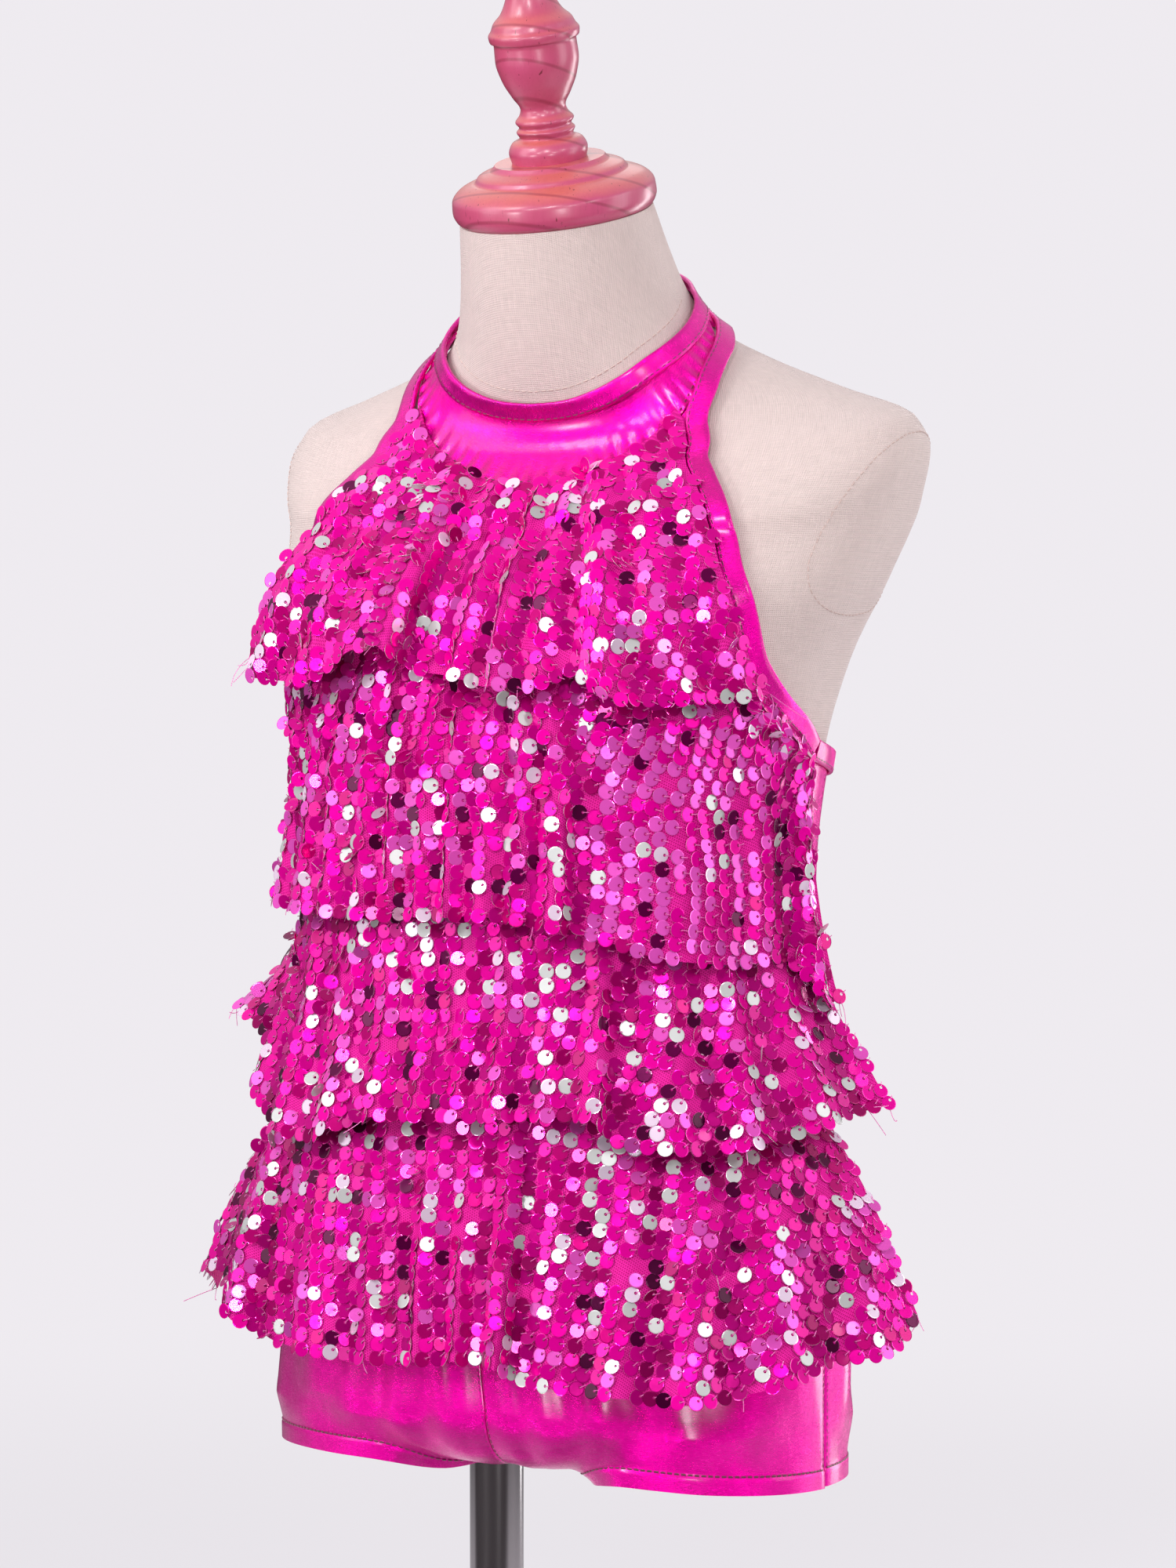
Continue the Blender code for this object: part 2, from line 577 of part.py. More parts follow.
def shorts_point(face, side, apart, row, opening, lift):
    """Point of the shorts: degrees from the centre seam, and row from the waist to the leg.

    Above the rim the cloth lies on the form. Below it, it turns under by the opening's own
    angle: not at all at the sides, and all the way at the crotch.
    """
    above, below_share = row
    waist = WAIST - SEAM_GAP / 2
    height = waist - above * (waist - RIM_TOP)
    seam = side * angle_of(height, centre_seam(height) + side * SEAM_GAP / 2)
    run = SIDE - HALF_SEAM - seam
    rim_seam = side * float(angle_of(RIM_TOP, centre_seam(RIM_TOP)))
    share = apart / (SIDE - rim_seam)
    front_angle = side * (seam + share * run)
    angle = front_angle if face > 0 else 180 - front_angle
    start = cloth_point(height, angle, lift)
    out = form_normal(height, angle)
    out[..., 2] = 0
    out /= np.linalg.norm(out, axis=-1, keepdims=True)

    turn_to, length = np.moveaxis(opening(apart), -1, 0)
    turn = np.radians(np.clip(turn_to, 0, 90))
    below = below_share * length
    radius = RIM_RADIUS + lift
    bend = np.minimum(below / (RIM_RADIUS + EASE), turn)
    straight = below - bend * (RIM_RADIUS + EASE)
    under = (turn / (np.pi / 2))[..., None]
    inward = -out * (1 - under) + np.array([0, face, 0]) * under
    inward /= np.linalg.norm(inward, axis=-1, keepdims=True)
    point = start - out * (radius * (1 - np.cos(bend)))[..., None]
    point += inward * (straight * np.sin(bend))[..., None]
    point[..., 2] -= radius * np.sin(bend) + straight * np.cos(bend)
    slide = np.clip(straight / CROTCH_SLIDE_RUN, 0, 1)[..., None] * under
    point[..., :1] += CROTCH_SLIDE * slide * slide * (3 - 2 * slide)
    return point


def build_shorts(foil):
    above = np.array(SHORTS_ABOVE_RIM + (1,) * len(SHORTS_BELOW_RIM), float)[:, None]
    below = np.array((0,) * len(SHORTS_ABOVE_RIM) + SHORTS_BELOW_RIM, float)[:, None]
    for face_name, face in (("front", 1), ("back", -1)):
        for side_name, side in (("left", 1), ("right", -1)):
            opening = make_curve(LEG_OPENINGS[f"{side_name}_{face_name}"])
            reach = SIDE - side * float(angle_of(RIM_TOP, centre_seam(RIM_TOP)))
            to_side = np.linspace(SHORTS_NEAR_SEAM[-1], reach, SHORTS_TO_SIDE)[1:]
            apart = np.concatenate([SHORTS_NEAR_SEAM, to_side])
            apart, up, down = np.broadcast_arrays(apart, above, below)
            outer, inner = (
                shorts_point(face, side, apart, (up, down), opening, lift) for lift in (PANEL_OUTER, EASE)
            )
            new_wall(f"shorts_{face_name}_{side_name}", outer, inner, foil)


def build_nape(foil, snap):
    """Tab and snap that close the two ends of the halter behind the neck."""
    angles = np.linspace(*NAPE_TAB_ANGLES, 7)
    heights = np.linspace(*NAPE_TAB_HEIGHTS, 4)[:, None]
    height, angle = np.broadcast_arrays(heights, angles)
    low = EASE + BINDING_THICK + 0.5
    top = low + CLOTH + SEAM_GAP
    new_wall("nape_tab", cloth_point(height, angle, top), cloth_point(height, angle, low), foil)
    middle_height = np.mean(NAPE_TAB_HEIGHTS)
    out = form_normal(middle_height, 180.0)
    middle = cloth_point(middle_height, 180.0, top + 0.4)
    beside = np.array([1.0, 0.0, 0.0])
    upward = np.cross(out, beside)
    turn = np.arange(SNAP_SIDES)[:, None] * 2 * np.pi / SNAP_SIDES
    rings = [
        middle + out * rise + radius * (beside * np.cos(turn) + upward * np.sin(turn))
        for rise, radius in SNAP_PROFILE
    ]
    new_tube("nape_snap", rings, snap)


def main():
    for old in list(bpy.data.objects):
        bpy.data.objects.remove(old, do_unlink=True)
    linen = new_material("linen", (0.72, 0.62, 0.58), 0.9)
    wood = new_material("stained_wood", (0.55, 0.17, 0.16), 0.35)
    chrome = new_material("chrome", (0.7, 0.7, 0.72), 0.15, 1.0)
    foil = new_material("foil_cloth", (0.85, 0.0, 0.42), 0.3, 0.6)
    sequin_net = new_material("sequin_net", (0.78, 0.0, 0.32), 0.35, 0.3)
    snap = new_material("snap_plastic", (0.8, 0.02, 0.4), 0.4)
    build_form(linen)
    build_cap_and_finial(wood)
    build_stand(chrome)
    build_bodice(foil)
    build_yoke(foil)
    build_tiers(sequin_net)
    build_shorts(foil)
    build_bindings(foil)
    build_nape(foil, snap)


main()
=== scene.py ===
"""Looks of a sequin leotard on a limbless dress form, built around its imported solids.

Sizes are in millimetres and become metres when a mesh is made. +Z is up, +X is the form's
left and the front faces -Y. Cloth is placed on the form by three numbers: height, the level
of the form's ring; angle, 0 at the front, 90 at the form's left and 180 at the back; and
lift, out from the form.
"""

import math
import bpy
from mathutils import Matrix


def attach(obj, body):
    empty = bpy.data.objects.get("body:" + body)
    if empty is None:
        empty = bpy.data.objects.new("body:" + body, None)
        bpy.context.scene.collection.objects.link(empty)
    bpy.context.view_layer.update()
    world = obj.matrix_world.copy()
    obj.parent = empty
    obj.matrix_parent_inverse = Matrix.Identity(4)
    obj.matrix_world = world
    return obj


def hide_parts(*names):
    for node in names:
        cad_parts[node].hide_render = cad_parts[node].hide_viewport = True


bl_info = {
    "name": "Sequin leotard on a dress form",
    "version": (1, 0, 0),
    "blender": (4, 5, 0),
    "location": "View3D > Sidebar > Leotard",
    "description": "Builds the cloth, sequins, linen, wood and studio of a sequin leotard",
    "category": "Object",
}

import bpy
import numpy as np
from bpy.props import FloatProperty, FloatVectorProperty, IntProperty, PointerProperty
from mathutils import Vector

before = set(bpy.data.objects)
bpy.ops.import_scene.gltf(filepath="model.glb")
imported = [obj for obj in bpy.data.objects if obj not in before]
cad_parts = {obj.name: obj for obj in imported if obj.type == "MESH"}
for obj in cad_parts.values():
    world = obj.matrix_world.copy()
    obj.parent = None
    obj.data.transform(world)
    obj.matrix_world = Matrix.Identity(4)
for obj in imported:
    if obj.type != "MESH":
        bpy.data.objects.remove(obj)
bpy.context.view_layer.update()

MM = 0.001

# Cloth, in millimetres out from the form
EASE = 1.2
CLOTH = 1.1
PANEL_OUTER = EASE + CLOTH
TIER_INNER = PANEL_OUTER + 0.9
TIER_CLOTH = 0.6
TIER_OVER_TIER = 1.6
BINDING_LIFT = PANEL_OUTER + 0.5
BINDING_WIDTH = 8.5
BINDING_THICK = 1.9
STRIP_WIDTH = 9.0
EDGE_SINK = 0.5
SEAM_GAP = 0.12

# Yoke: rows from its lower edge up, its narrow band under the straps, and its puckers
YOKE_ROWS = (0, 0.012, 0.05, 0.1, 0.16, 0.24, 0.36, 0.5, 0.64, 0.78, 0.9, 0.99, 1.0)
YOKE_UNDER_STRAP = 49.0
STRAP_BAND = 7.5
PUCKER_RISE = 0.8
PUCKER_FADE = 4.0

# Stitches: length, width and rise, and the distance from one to the next
CLOTH_STITCH = (1.9, 0.6, 0.32)
CLOTH_STITCH_STEP = 3.0
YOKE_STITCH_STEP = 3.4
HEM_STITCH = (1.9, 0.85, 0.36)
HEM_STITCH_STEP = 2.7
LINEN_STITCH = (2.0, 0.6, 0.34)
LINEN_STITCH_STEP = 3.1

# Form and stand
FORM_MIDDLE_X = 22.0
FORM_BOTTOM = 262.0
RIM_RADIUS = 22.0
RIM_TOP = FORM_BOTTOM + RIM_RADIUS
NECK_TOP = 761.0
CAP_LEAN = 14.6
FINIAL_BASE_TOP = 22.2
WOOD_GAP = 0.05
PROFILE_STEPS = 5

# Garment lines
WAIST = 395.0
UNDERARM = 545.0
SIDE = 89.93
NAPE_END = 176.0
YOKE_END = 101.0
BACK_TOP = 536.0
BACK_RISE = 13.0
LEG_HEM = 7.5
TIER_SIDE = 88.5
TIER_EDGE_GAP = 0.35

# Columns: height, centre_y, lean, half_width, front, back, squareness
FORM_SECTIONS = (
    (262, 14, 0, 118, 72, 76, 2.4),
    (300, 15, 0, 118, 72, 78, 2.4),
    (340, 16, 0, 118, 75, 79, 2.3),
    (400, 18, 0, 110, 76, 72, 2.25),
    (450, 19, 0, 103, 75, 66, 2.25),
    (500, 19, 0, 104, 77, 68, 2.25),
    (545, 21, 1, 108, 80, 73, 2.3),
    (580, 26.5, 2, 116, 82.5, 73.5, 2.4),
    (615, 41, 4, 130, 89, 63, 2.4),
    (645, 56, 7, 138, 88, 50, 2.5),
    (664, 56, 10, 142, 73, 48, 2.5),
    (677, 54, 13, 137.5, 62, 44, 2.25),
    (687, 50, 15, 111, 56, 41, 2.0),
    (696, 44, 17, 85, 52, 40, 2.0),
    (706, 36, 18, 63, 49, 41, 2.0),
    (719, 28, 18, 50, 46, 43, 2.0),
    (740, 18.6, 17, 43, 42.5, 42.5, 2.0),
    (761, 10.8, 14.6, 39.3, 39.3, 39.3, 2.0),
)

# Columns: angle, height of the neck binding's upper edge
NECKLINE = (
    (0, 701), (15, 701.8), (30, 704.5), (45, 708.8), (55, 712.0), (70, 715.5),
    (85, 718.8), (98, 722), (110, 724.8), (120, 725.6), (150, 727), (180, 727.4),
)

# Columns: angle, height of the yoke's lower edge
YOKE_EDGE = (
    (0, 662.5), (10, 663.2), (20, 666.8), (34, 674.8), (47, 684), (54, 690.5),
    (62, 697), (69.5, 701), (80, 705.5), (91, 709.2), (101, 714),
)

# Columns: height, angle of the armhole binding's centre line, below the shoulder
ARMHOLE = (
    (541, 94), (547, 90), (555, 84.5), (566, 75.5), (582, 67), (598, 61.8), (612, 57.8),
    (630, 53), (651, 50), (670, 50), (679, 53), (690, 57),
)

# Columns: angle, height of the armhole binding's centre line, from the shoulder to the nape
ARMHOLE_TOP = (
    (57, 690), (63, 695.5), (70, 700.3), (80, 704.2), (91, 707), (101, 709.3),
    (115, 711.8), (135, 713), (180, 714),
)

# Columns: across, from -1 at the form's right edge to 1 at its left; hem height; flare
TIER_HEMS = {
    "tier_1": (
        (-1.0, 585, 17), (-0.9, 578, 16), (-0.78, 575, 15), (-0.62, 574, 14), (-0.46, 587, 13),
        (-0.3, 588, 13), (-0.16, 579, 11), (0.0, 577, 11), (0.15, 573, 11), (0.33, 573, 11),
        (0.46, 580, 9), (0.6, 569, 11), (0.8, 571, 9), (1.0, 573, 7),
    ),
    "tier_2": (
        (-1.0, 487, 19), (-0.92, 483, 15), (-0.8, 482, 11), (-0.45, 481, 10), (0.12, 483, 11),
        (0.3, 481, 11), (0.42, 476, 9), (0.6, 467, 9), (0.76, 464, 9), (0.86, 466, 8),
        (0.92, 457, 10), (0.96, 443, 14), (1.0, 447, 18),
    ),
    "tier_3": (
        (-1.0, 425, 45), (-0.93, 423, 27), (-0.86, 415, 16), (-0.76, 398, 13), (-0.62, 389, 13),
        (-0.5, 388, 13), (-0.42, 394, 13), (-0.28, 400, 12), (0.05, 402, 12), (0.42, 404, 12),
        (0.5, 393, 13), (0.67, 390, 15), (0.8, 392, 18), (0.92, 399, 25), (1.0, 401, 34),
    ),
    "tier_4": (
        (-1.0, 313, 41), (-0.93, 321, 32), (-0.82, 329, 23), (-0.75, 322, 19), (-0.68, 310, 17),
        (-0.6, 305, 16), (-0.3, 304, 15), (-0.1, 306, 15), (0.17, 308, 14), (0.25, 300, 15),
        (0.45, 297, 17), (0.65, 294, 20), (0.8, 302, 25), (0.87, 309, 28), (0.92, 310, 32),
        (0.96, 314, 36), (1.0, 325, 39),
    ),
}

# Columns: across, width on the right, width on the left, rise at the hem
TIER_FOLDS = {
    "tier_1": (
        (-0.86, 0.05, 0.06, 5), (-0.64, 0.05, 0.07, 6), (-0.46, 0.06, 0.05, 1.5),
        (-0.25, 0.11, 0.022, 14), (0.03, 0.05, 0.05, 5), (0.19, 0.03, 0.06, 7),
        (0.36, 0.05, 0.03, 4), (0.58, 0.06, 0.04, 6), (0.77, 0.04, 0.05, 3), (0.93, 0.04, 0.03, 3),
    ),
    "tier_2": (
        (-0.9, 0.05, 0.03, 5), (-0.75, 0.04, 0.04, 5), (-0.6, 0.04, 0.03, 4), (-0.47, 0.03, 0.04, 5),
        (-0.35, 0.035, 0.03, 4), (-0.24, 0.025, 0.035, 5), (-0.13, 0.035, 0.03, 4),
        (-0.02, 0.03, 0.035, 5), (0.1, 0.035, 0.025, 4), (0.22, 0.03, 0.035, 5),
        (0.33, 0.05, 0.02, 10), (0.6, 0.12, 0.1, 6), (0.82, 0.05, 0.04, 4), (0.94, 0.035, 0.03, 6),
    ),
    "tier_3": (
        (-0.95, 0.04, 0.03, 4), (-0.79, 0.04, 0.05, 5), (-0.61, 0.035, 0.045, 6),
        (-0.44, 0.04, 0.03, 4), (-0.28, 0.03, 0.04, 5), (-0.12, 0.035, 0.03, 5),
        (0.02, 0.03, 0.035, 4), (0.17, 0.04, 0.03, 5), (0.31, 0.03, 0.035, 4),
        (0.44, 0.05, 0.018, 10), (0.6, 0.04, 0.04, 5), (0.74, 0.03, 0.04, 6), (0.87, 0.04, 0.03, 6),
    ),
    "tier_4": (
        (-0.88, 0.05, 0.03, 5), (-0.7, 0.05, 0.018, 10), (-0.5, 0.04, 0.05, 5),
        (-0.3, 0.045, 0.04, 5), (-0.12, 0.03, 0.035, 6), (0.03, 0.035, 0.03, 5),
        (0.2, 0.05, 0.018, 10), (0.36, 0.04, 0.045, 5), (0.51, 0.045, 0.03, 5),
        (0.65, 0.03, 0.04, 7), (0.79, 0.04, 0.03, 6), (0.92, 0.03, 0.04, 6),
    ),
}

# Columns: name, height of the gathered top seam, power of the flare's curve
TIERS = (
    ("tier_1", None, 1.5),
    ("tier_2", 602.0, 2.6),
    ("tier_3", 498.0, 1.4),
    ("tier_4", 412.0, 1.1),
)
GATHER_START = 0.12
FOLD_GROWTH = 0.9
TIER_HOLD = 6.0
TIER_SIDE_START = UNDERARM - 12
TIER_COLUMNS = 250
TIER_ROWS = 24

# Columns: waves from side to side, height of a wave, shift
GATHERS = {
    "tier_1": ((11, 0.8, 0.4), (19, 0.4, 1.9), (29, 0.2, 3.1)),
    "tier_2": ((17, 0.5, 0.4), (25, 0.65, 1.9), (37, 0.25, 3.1)),
    "tier_3": ((13, 0.6, 0.4), (21, 0.5, 1.9), (31, 0.2, 3.1)),
    "tier_4": ((11, 0.7, 0.4), (17, 0.5, 1.9), (27, 0.25, 3.1)),
}

# Light of the backdrop as the camera sees it
BACKDROP = (0.86, 0.83, 0.87, 1.0)

# Camera, in metres and degrees
CAMERA_PLACE = (1.1762, -2.0881, 0.664)
CAMERA_TURN = 28.5
CAMERA_DIP = 3.2
CAMERA_LENS = 135.65
CAMERA_SENSOR = 36.0

# Floor, in metres: its rings, where it fades into the backdrop, and where its dark front begins and ends
FLOOR_SIDES = 96
FLOOR_RINGS = (0.5, 1.5, 4, 8, 40)
FLOOR_FADE = (0.55, 2.1)
FRONT_FLOOR = (-0.12, -0.45)

# Sky: its colours low and high, the climb between them, and the way to the camera along X and Y
SKY_LOW = (0.07, 0.07, 0.07)
SKY_HIGH = (0.97, 0.95, 0.98)
SKY_CLIMB = (-0.05, 0.62)
SKY_FRONT = (("X", 0.477), ("Y", -0.879))

# Columns: turn from the camera, height, distance, width, tallness, share of the key light
LIGHTS = (
    (-76, 1.15, 1.8, 0.8, 1.8, 3.0), (-52, 1.75, 1.6, 0.4, 0.5, 2.4), (78, 0.9, 1.7, 0.7, 1.5, 2.1),
    (-28, 1.25, 2.0, 0.24, 0.24, 1.1), (-8, 1.7, 2.2, 0.24, 0.2, 3.0), (16, 1.15, 2.1, 0.22, 0.22, 1.0),
    (40, 1.5, 1.9, 0.3, 0.3, 0.9), (8, 0.36, 2.4, 0.3, 0.24, 2.0), (-46, 0.45, 2.1, 0.26, 0.26, 2.3),
    (128, 0.5, 1.5, 0.3, 1.0, 1.6), (180, 1.8, 1.6, 0.8, 0.8, 0.4),
)
LIGHT_AIM = (0.02, 0.02, 0.5)

# A sequin: its sides, and as shares of its radius its flat part, its hole and the hole's place
SEQUIN_SIDES = 16
HOLE_SIDES = 8
FLAT_SHARE = 0.88
HOLE_RADIUS = 0.21
HOLE_OUT = 0.47

# Rows of sequins: the first row over the hem, share of sequins left out, and how far they run on
# under the tier above, all but the share in millimetres
FIRST_ROW = 0.8
SEQUINS_MISSING = 0.035
UNDER_TIER = 20.0

# Direction from a sequin's middle to its hole, in degrees from straight up
HOLE_TURN = {"tier_1": 118, "tier_2": 75, "tier_3": 48, "tier_4": 58}

# Columns: share of all sequins, colour, how much a patch of painted light changes the share. The first
# colour is the sequins' own magenta; the deeper pink and the maroon are painted reflections of dark
# surroundings, and the pale pink and the white are painted highlights
SEQUIN_TINTS = (
    (0.62, (248, 0, 164), -0.1),
    (0.15, (200, 0, 120), -0.6),
    (0.05, (96, 0, 66), -0.9),
    (0.1, (246, 92, 206), 1.4),
    (0.03, (252, 226, 250), 2.0),
)
# Shares of the same tints in tier 2's smooth patch, where over half are pale pink as a painted highlight
SMOOTH_TINTS = (0.36, 0.03, 0.02, 0.55, 0.04)
TIER_SHADE = (1.0, 1.0, 0.9, 0.84)
# Flank of tier 1's box fold, whose sequins stand on edge and are darkened as painted shade: across, from
# and to, and its top
FLANK = (-0.36, -0.262)
FLANK_TOP = 655

# Lower part of tier 2 where the cloth hangs smooth: its middle, half its width and its top
SMOOTH_MIDDLE = 0.62
SMOOTH_HALF = 0.24
SMOOTH_TOP = 556

# Columns: degrees from the centre seam, turn under the form in degrees, length below the rim
LEG_OPENINGS = {
    "left_front": (
        (0, 90, 83), (13, 90, 83), (16, 90, 68), (19, 88, 54), (23, 68, 43), (29, 38, 32),
        (35, 14, 27), (42, 3, 27), (52, 0, 29), (88, 0, 33),
    ),
    "right_front": (
        (0, 90, 83), (9, 90, 83), (12, 90, 70), (16, 89, 56), (22, 74, 43), (30, 30, 28), (40, 4, 24),
        (60, 0, 24), (88, 0, 26),
    ),
    "left_back": (
        (0, 90, 91), (13, 90, 91), (16, 90, 72), (19, 88, 55), (25, 66, 43), (33, 28, 36), (46, 0, 32),
    ),
    "right_back": (
        (0, 90, 91), (9, 90, 91), (12, 90, 74), (16, 89, 57), (23, 74, 45), (34, 36, 35), (50, 4, 28),
        (58, 0, 27),
    ),
}
# Columns: height, sideways place of the centre seam from the form's middle
CENTRE_SEAM = ((262, 9), (284, 6), (303, 3.5), (340, 1), (395, 0))
CROTCH_SLIDE = 4.0
CROTCH_SLIDE_RUN = 20.0
# Degrees and rise of the cloth's fold over each leg
OVER_LEG = {1: (34, 3.2), -1: (30, 1.6)}

# Columns: height above the linen, radius, from the underside of the cap to the tip
CAP_PROFILE = (
    (0.0, 38.6), (1.6, 40.3), (5.0, 41.5), (9.4, 41.2), (13.2, 38.2), (15.6, 32.6),
    (16.0, 31.2), (18.0, 29.8), (19.8, 25.4), (20.2, 24.2), (22.2, 22.4),
)
FINIAL_PROFILE = (
    (0.0, 15.2), (4.0, 16.0), (7.8, 14.4), (10.0, 10.9), (12.2, 11.9), (14.0, 10.6),
    (16.2, 11.9), (19.2, 9.8), (21.4, 9.2), (26.4, 11.8), (33.6, 15.2), (41.4, 16.9), (48.2, 16.7),
    (49.4, 18.1), (51.8, 18.5), (54.0, 17.2), (56.6, 16.0), (60.2, 12.6), (65.6, 9.9),
    (71.6, 8.1), (77.6, 6.5), (81.6, 4.4), (82.8, 2.4),
)
# Columns: height, radius, from the base's underside to the top of its collar
BASE_PROFILE = (
    (0, 134), (1, 135), (9, 135), (11, 134), (12, 132), (12, 21), (13.5, 19), (26, 16), (28, 14),
)
POLE_RADIUS = 11.0

# Nape tab and its snap. Columns: height over the tab, radius
TAB_THICK = 1.4
SNAP_HEIGHT = 718.5
SNAP_PROFILE = (
    (0.0, 4.6), (0.5, 4.85), (1.0, 4.8), (1.5, 4.4), (1.8, 3.6), (1.75, 3.0), (1.5, 2.7), (1.6, 1.6),
    (1.7, 0.6),
)

# The arm plate's seam: sideways place at its top, slope, and how the lower end rounds off
ARM_PLATE_TOP = (162.0, 673.0)
ARM_PLATE_SLOPE = 0.444
ARM_PLATE_ROUND = (637.0, 0.012)
ARM_PLATE_MIDDLE = (640.0, 95.0)


class LeotardCloth(bpy.types.PropertyGroup):
    """Colours of the foil cloth, the net and the thread."""

    foil: FloatVectorProperty(
        name="Foil", description="Foil-printed cloth", subtype="COLOR", size=3,
        default=(0.98, 0.0, 0.41), min=0, max=1)
    net: FloatVectorProperty(
        name="Net", description="Threads of the tulle", subtype="COLOR", size=3,
        default=(0.72, 0.01, 0.28), min=0, max=1)
    thread: FloatVectorProperty(
        name="Thread", description="Sewing thread", subtype="COLOR", size=3,
        default=(0.2, 0.0, 0.065), min=0, max=1)


class LeotardSequins(bpy.types.PropertyGroup):
    """Size, spacing and scatter of the sequins."""

    radius: FloatProperty(
        name="Radius", description="Radius of a sequin", default=0.00315, min=0.001, max=0.01,
        unit="LENGTH", precision=5)
    pitch: FloatProperty(
        name="Pitch", description="Distance along a row", default=0.0066, min=0.002, max=0.02,
        unit="LENGTH", precision=5)
    row_pitch: FloatProperty(
        name="Row pitch", description="Distance between rows", default=0.0057, min=0.002, max=0.02,
        unit="LENGTH", precision=5)
    tilt: FloatProperty(
        name="Tilt", description="Spread of a sequin's tilt", default=math.radians(8),
        subtype="ANGLE", min=0, max=1)
    flipped: FloatProperty(
        name="Flipped", description="Share that shows its silver back", default=0.05, min=0, max=1,
        subtype="FACTOR")
    seed: IntProperty(name="Seed", description="Start of the scatter", default=11, min=0)


class LeotardForm(bpy.types.PropertyGroup):
    """Colours of the dress form and its stand."""

    linen: FloatVectorProperty(
        name="Linen", description="Cloth of the form", subtype="COLOR", size=3,
        default=(0.75, 0.61, 0.585), min=0, max=1)
    wood: FloatVectorProperty(
        name="Wood", description="Stain of the cap and finial", subtype="COLOR", size=3,
        default=(0.55, 0.08, 0.13), min=0, max=1)
    chrome: FloatVectorProperty(
        name="Chrome", description="Plating of the pole and base", subtype="COLOR", size=3,
        default=(0.4, 0.37, 0.385), min=0, max=1)


class LeotardStage(bpy.types.PropertyGroup):
    """Light and colour of the studio."""

    paper: FloatVectorProperty(
        name="Paper", description="Floor and backdrop", subtype="COLOR", size=3,
        default=(0.37, 0.36, 0.375), min=0, max=1)
    soft: FloatProperty(
        name="Soft light", description="Strength of the light from all round", default=0.85,
        min=0, max=2, subtype="FACTOR")
    key: FloatProperty(
        name="Key light", description="Power of the small lights, in watts", default=4.6,
        min=0, max=500, unit="POWER")


# Surfaces worked out from the tables


def unit(vectors):
    """Vectors made one long."""
    return vectors / np.linalg.norm(vectors, axis=-1, keepdims=True)


def gone_along(points):
    """Distance from a line's first point to each of its points."""
    return np.concatenate([[0], np.cumsum(np.linalg.norm(np.diff(points, axis=0), axis=-1))])


def make_curve(rows):
    """Smooth curve through a short table: first column in, the other columns out."""
    table = np.array(rows, float)
    at, values = table[:, 0], table[:, 1:]
    step = np.diff(at)[:, None]
    rise = np.diff(values, axis=0) / step
    slope = np.zeros_like(values)
    slope[0], slope[-1] = rise[0], rise[-1]
    same_way = rise[:-1] * rise[1:] > 0
    before, after = step[:-1], step[1:]
    safe_low = np.where(same_way, rise[:-1], 1.0)
    safe_high = np.where(same_way, rise[1:], 1.0)
    weighted = (2 * after + before) / safe_low + (after + 2 * before) / safe_high
    blend = 3 * (before + after) / weighted
    slope[1:-1] = np.where(same_way, blend, 0.0)

    def curve(x):
        x = np.clip(np.asarray(x, float), at[0], at[-1])
        i = np.clip(np.searchsorted(at, x, side="right") - 1, 0, len(at) - 2)
        width = (at[i + 1] - at[i])[..., None]
        t = ((x - at[i])[..., None]) / width
        value = (
            (2 * t**3 - 3 * t**2 + 1) * values[i]
            + (t**3 - 2 * t**2 + t) * width * slope[i]
            + (-2 * t**3 + 3 * t**2) * values[i + 1]
            + (t**3 - t**2) * width * slope[i + 1]
        )
        return value[..., 0] if value.shape[-1] == 1 else value

    return curve


form_section = make_curve(FORM_SECTIONS)
neckline = make_curve(NECKLINE)
yoke_edge = make_curve(YOKE_EDGE)
armhole = make_curve(ARMHOLE)
armhole_top = make_curve(ARMHOLE_TOP)
centre_seam = make_curve(CENTRE_SEAM)
tier_hem = {name: make_curve(rows) for name, rows in TIER_HEMS.items()}


def form_point(height, angle, rounded=False):
    """Point of the form's ring at a height, at an angle from the front, in millimetres."""
    height, angle = np.broadcast_arrays(np.asarray(height, float), np.radians(angle))
    row = form_section(height)
    centre_y, lean, half, front, back, square = (row[..., k] for k in range(6))
    if rounded:
        drop = np.clip(RIM_TOP - height, 0, RIM_RADIUS)
        inset = RIM_RADIUS - np.sqrt(RIM_RADIUS**2 - drop**2)
        half, front, back = half - inset, front - inset, back - inset
    depth = np.where(np.cos(angle) >= 0, front, back)
    reach = (np.abs(np.cos(angle)) / depth) ** square + (np.abs(np.sin(angle)) / half) ** square
    reach = reach ** (-1 / square)
    back_from_middle = -reach * np.cos(angle)
    tilt = np.radians(lean)
    x = FORM_MIDDLE_X + reach * np.sin(angle)
    y = centre_y + back_from_middle * np.cos(tilt)
    z = height + back_from_middle * np.sin(tilt)
    return np.stack([x, y, z], axis=-1)


def form_normal(height, angle):
    """Unit vector straight out of the form."""
    turn, climb = 1.0, 1.5
    height = np.asarray(height, float)
    low = np.clip(height - climb, FORM_SECTIONS[0][0], NECK_TOP)
    high = np.clip(height + climb, FORM_SECTIONS[0][0], NECK_TOP)
    around = form_point(height, angle + turn) - form_point(height, angle - turn)
    upward = form_point(high, angle) - form_point(low, angle)
    return unit(np.cross(around, upward))


def cloth_point(height, angle, lift):
    """Point at a lift over the form."""
    height, angle, lift = np.broadcast_arrays(height, angle, lift)
    return form_point(height, angle) + form_normal(height, angle) * lift[..., None]


def angle_of(height, sideways):
    """Angle of the front point that lies a distance sideways from the form's middle."""
    row = form_section(height)
    half, front, square = row[..., 2], row[..., 3], row[..., 5]
    ratio = np.clip(np.abs(sideways) / half, 0, 1)
    depth = front * (1 - ratio**square) ** (1 / square)
    return np.degrees(np.arctan2(sideways, depth))


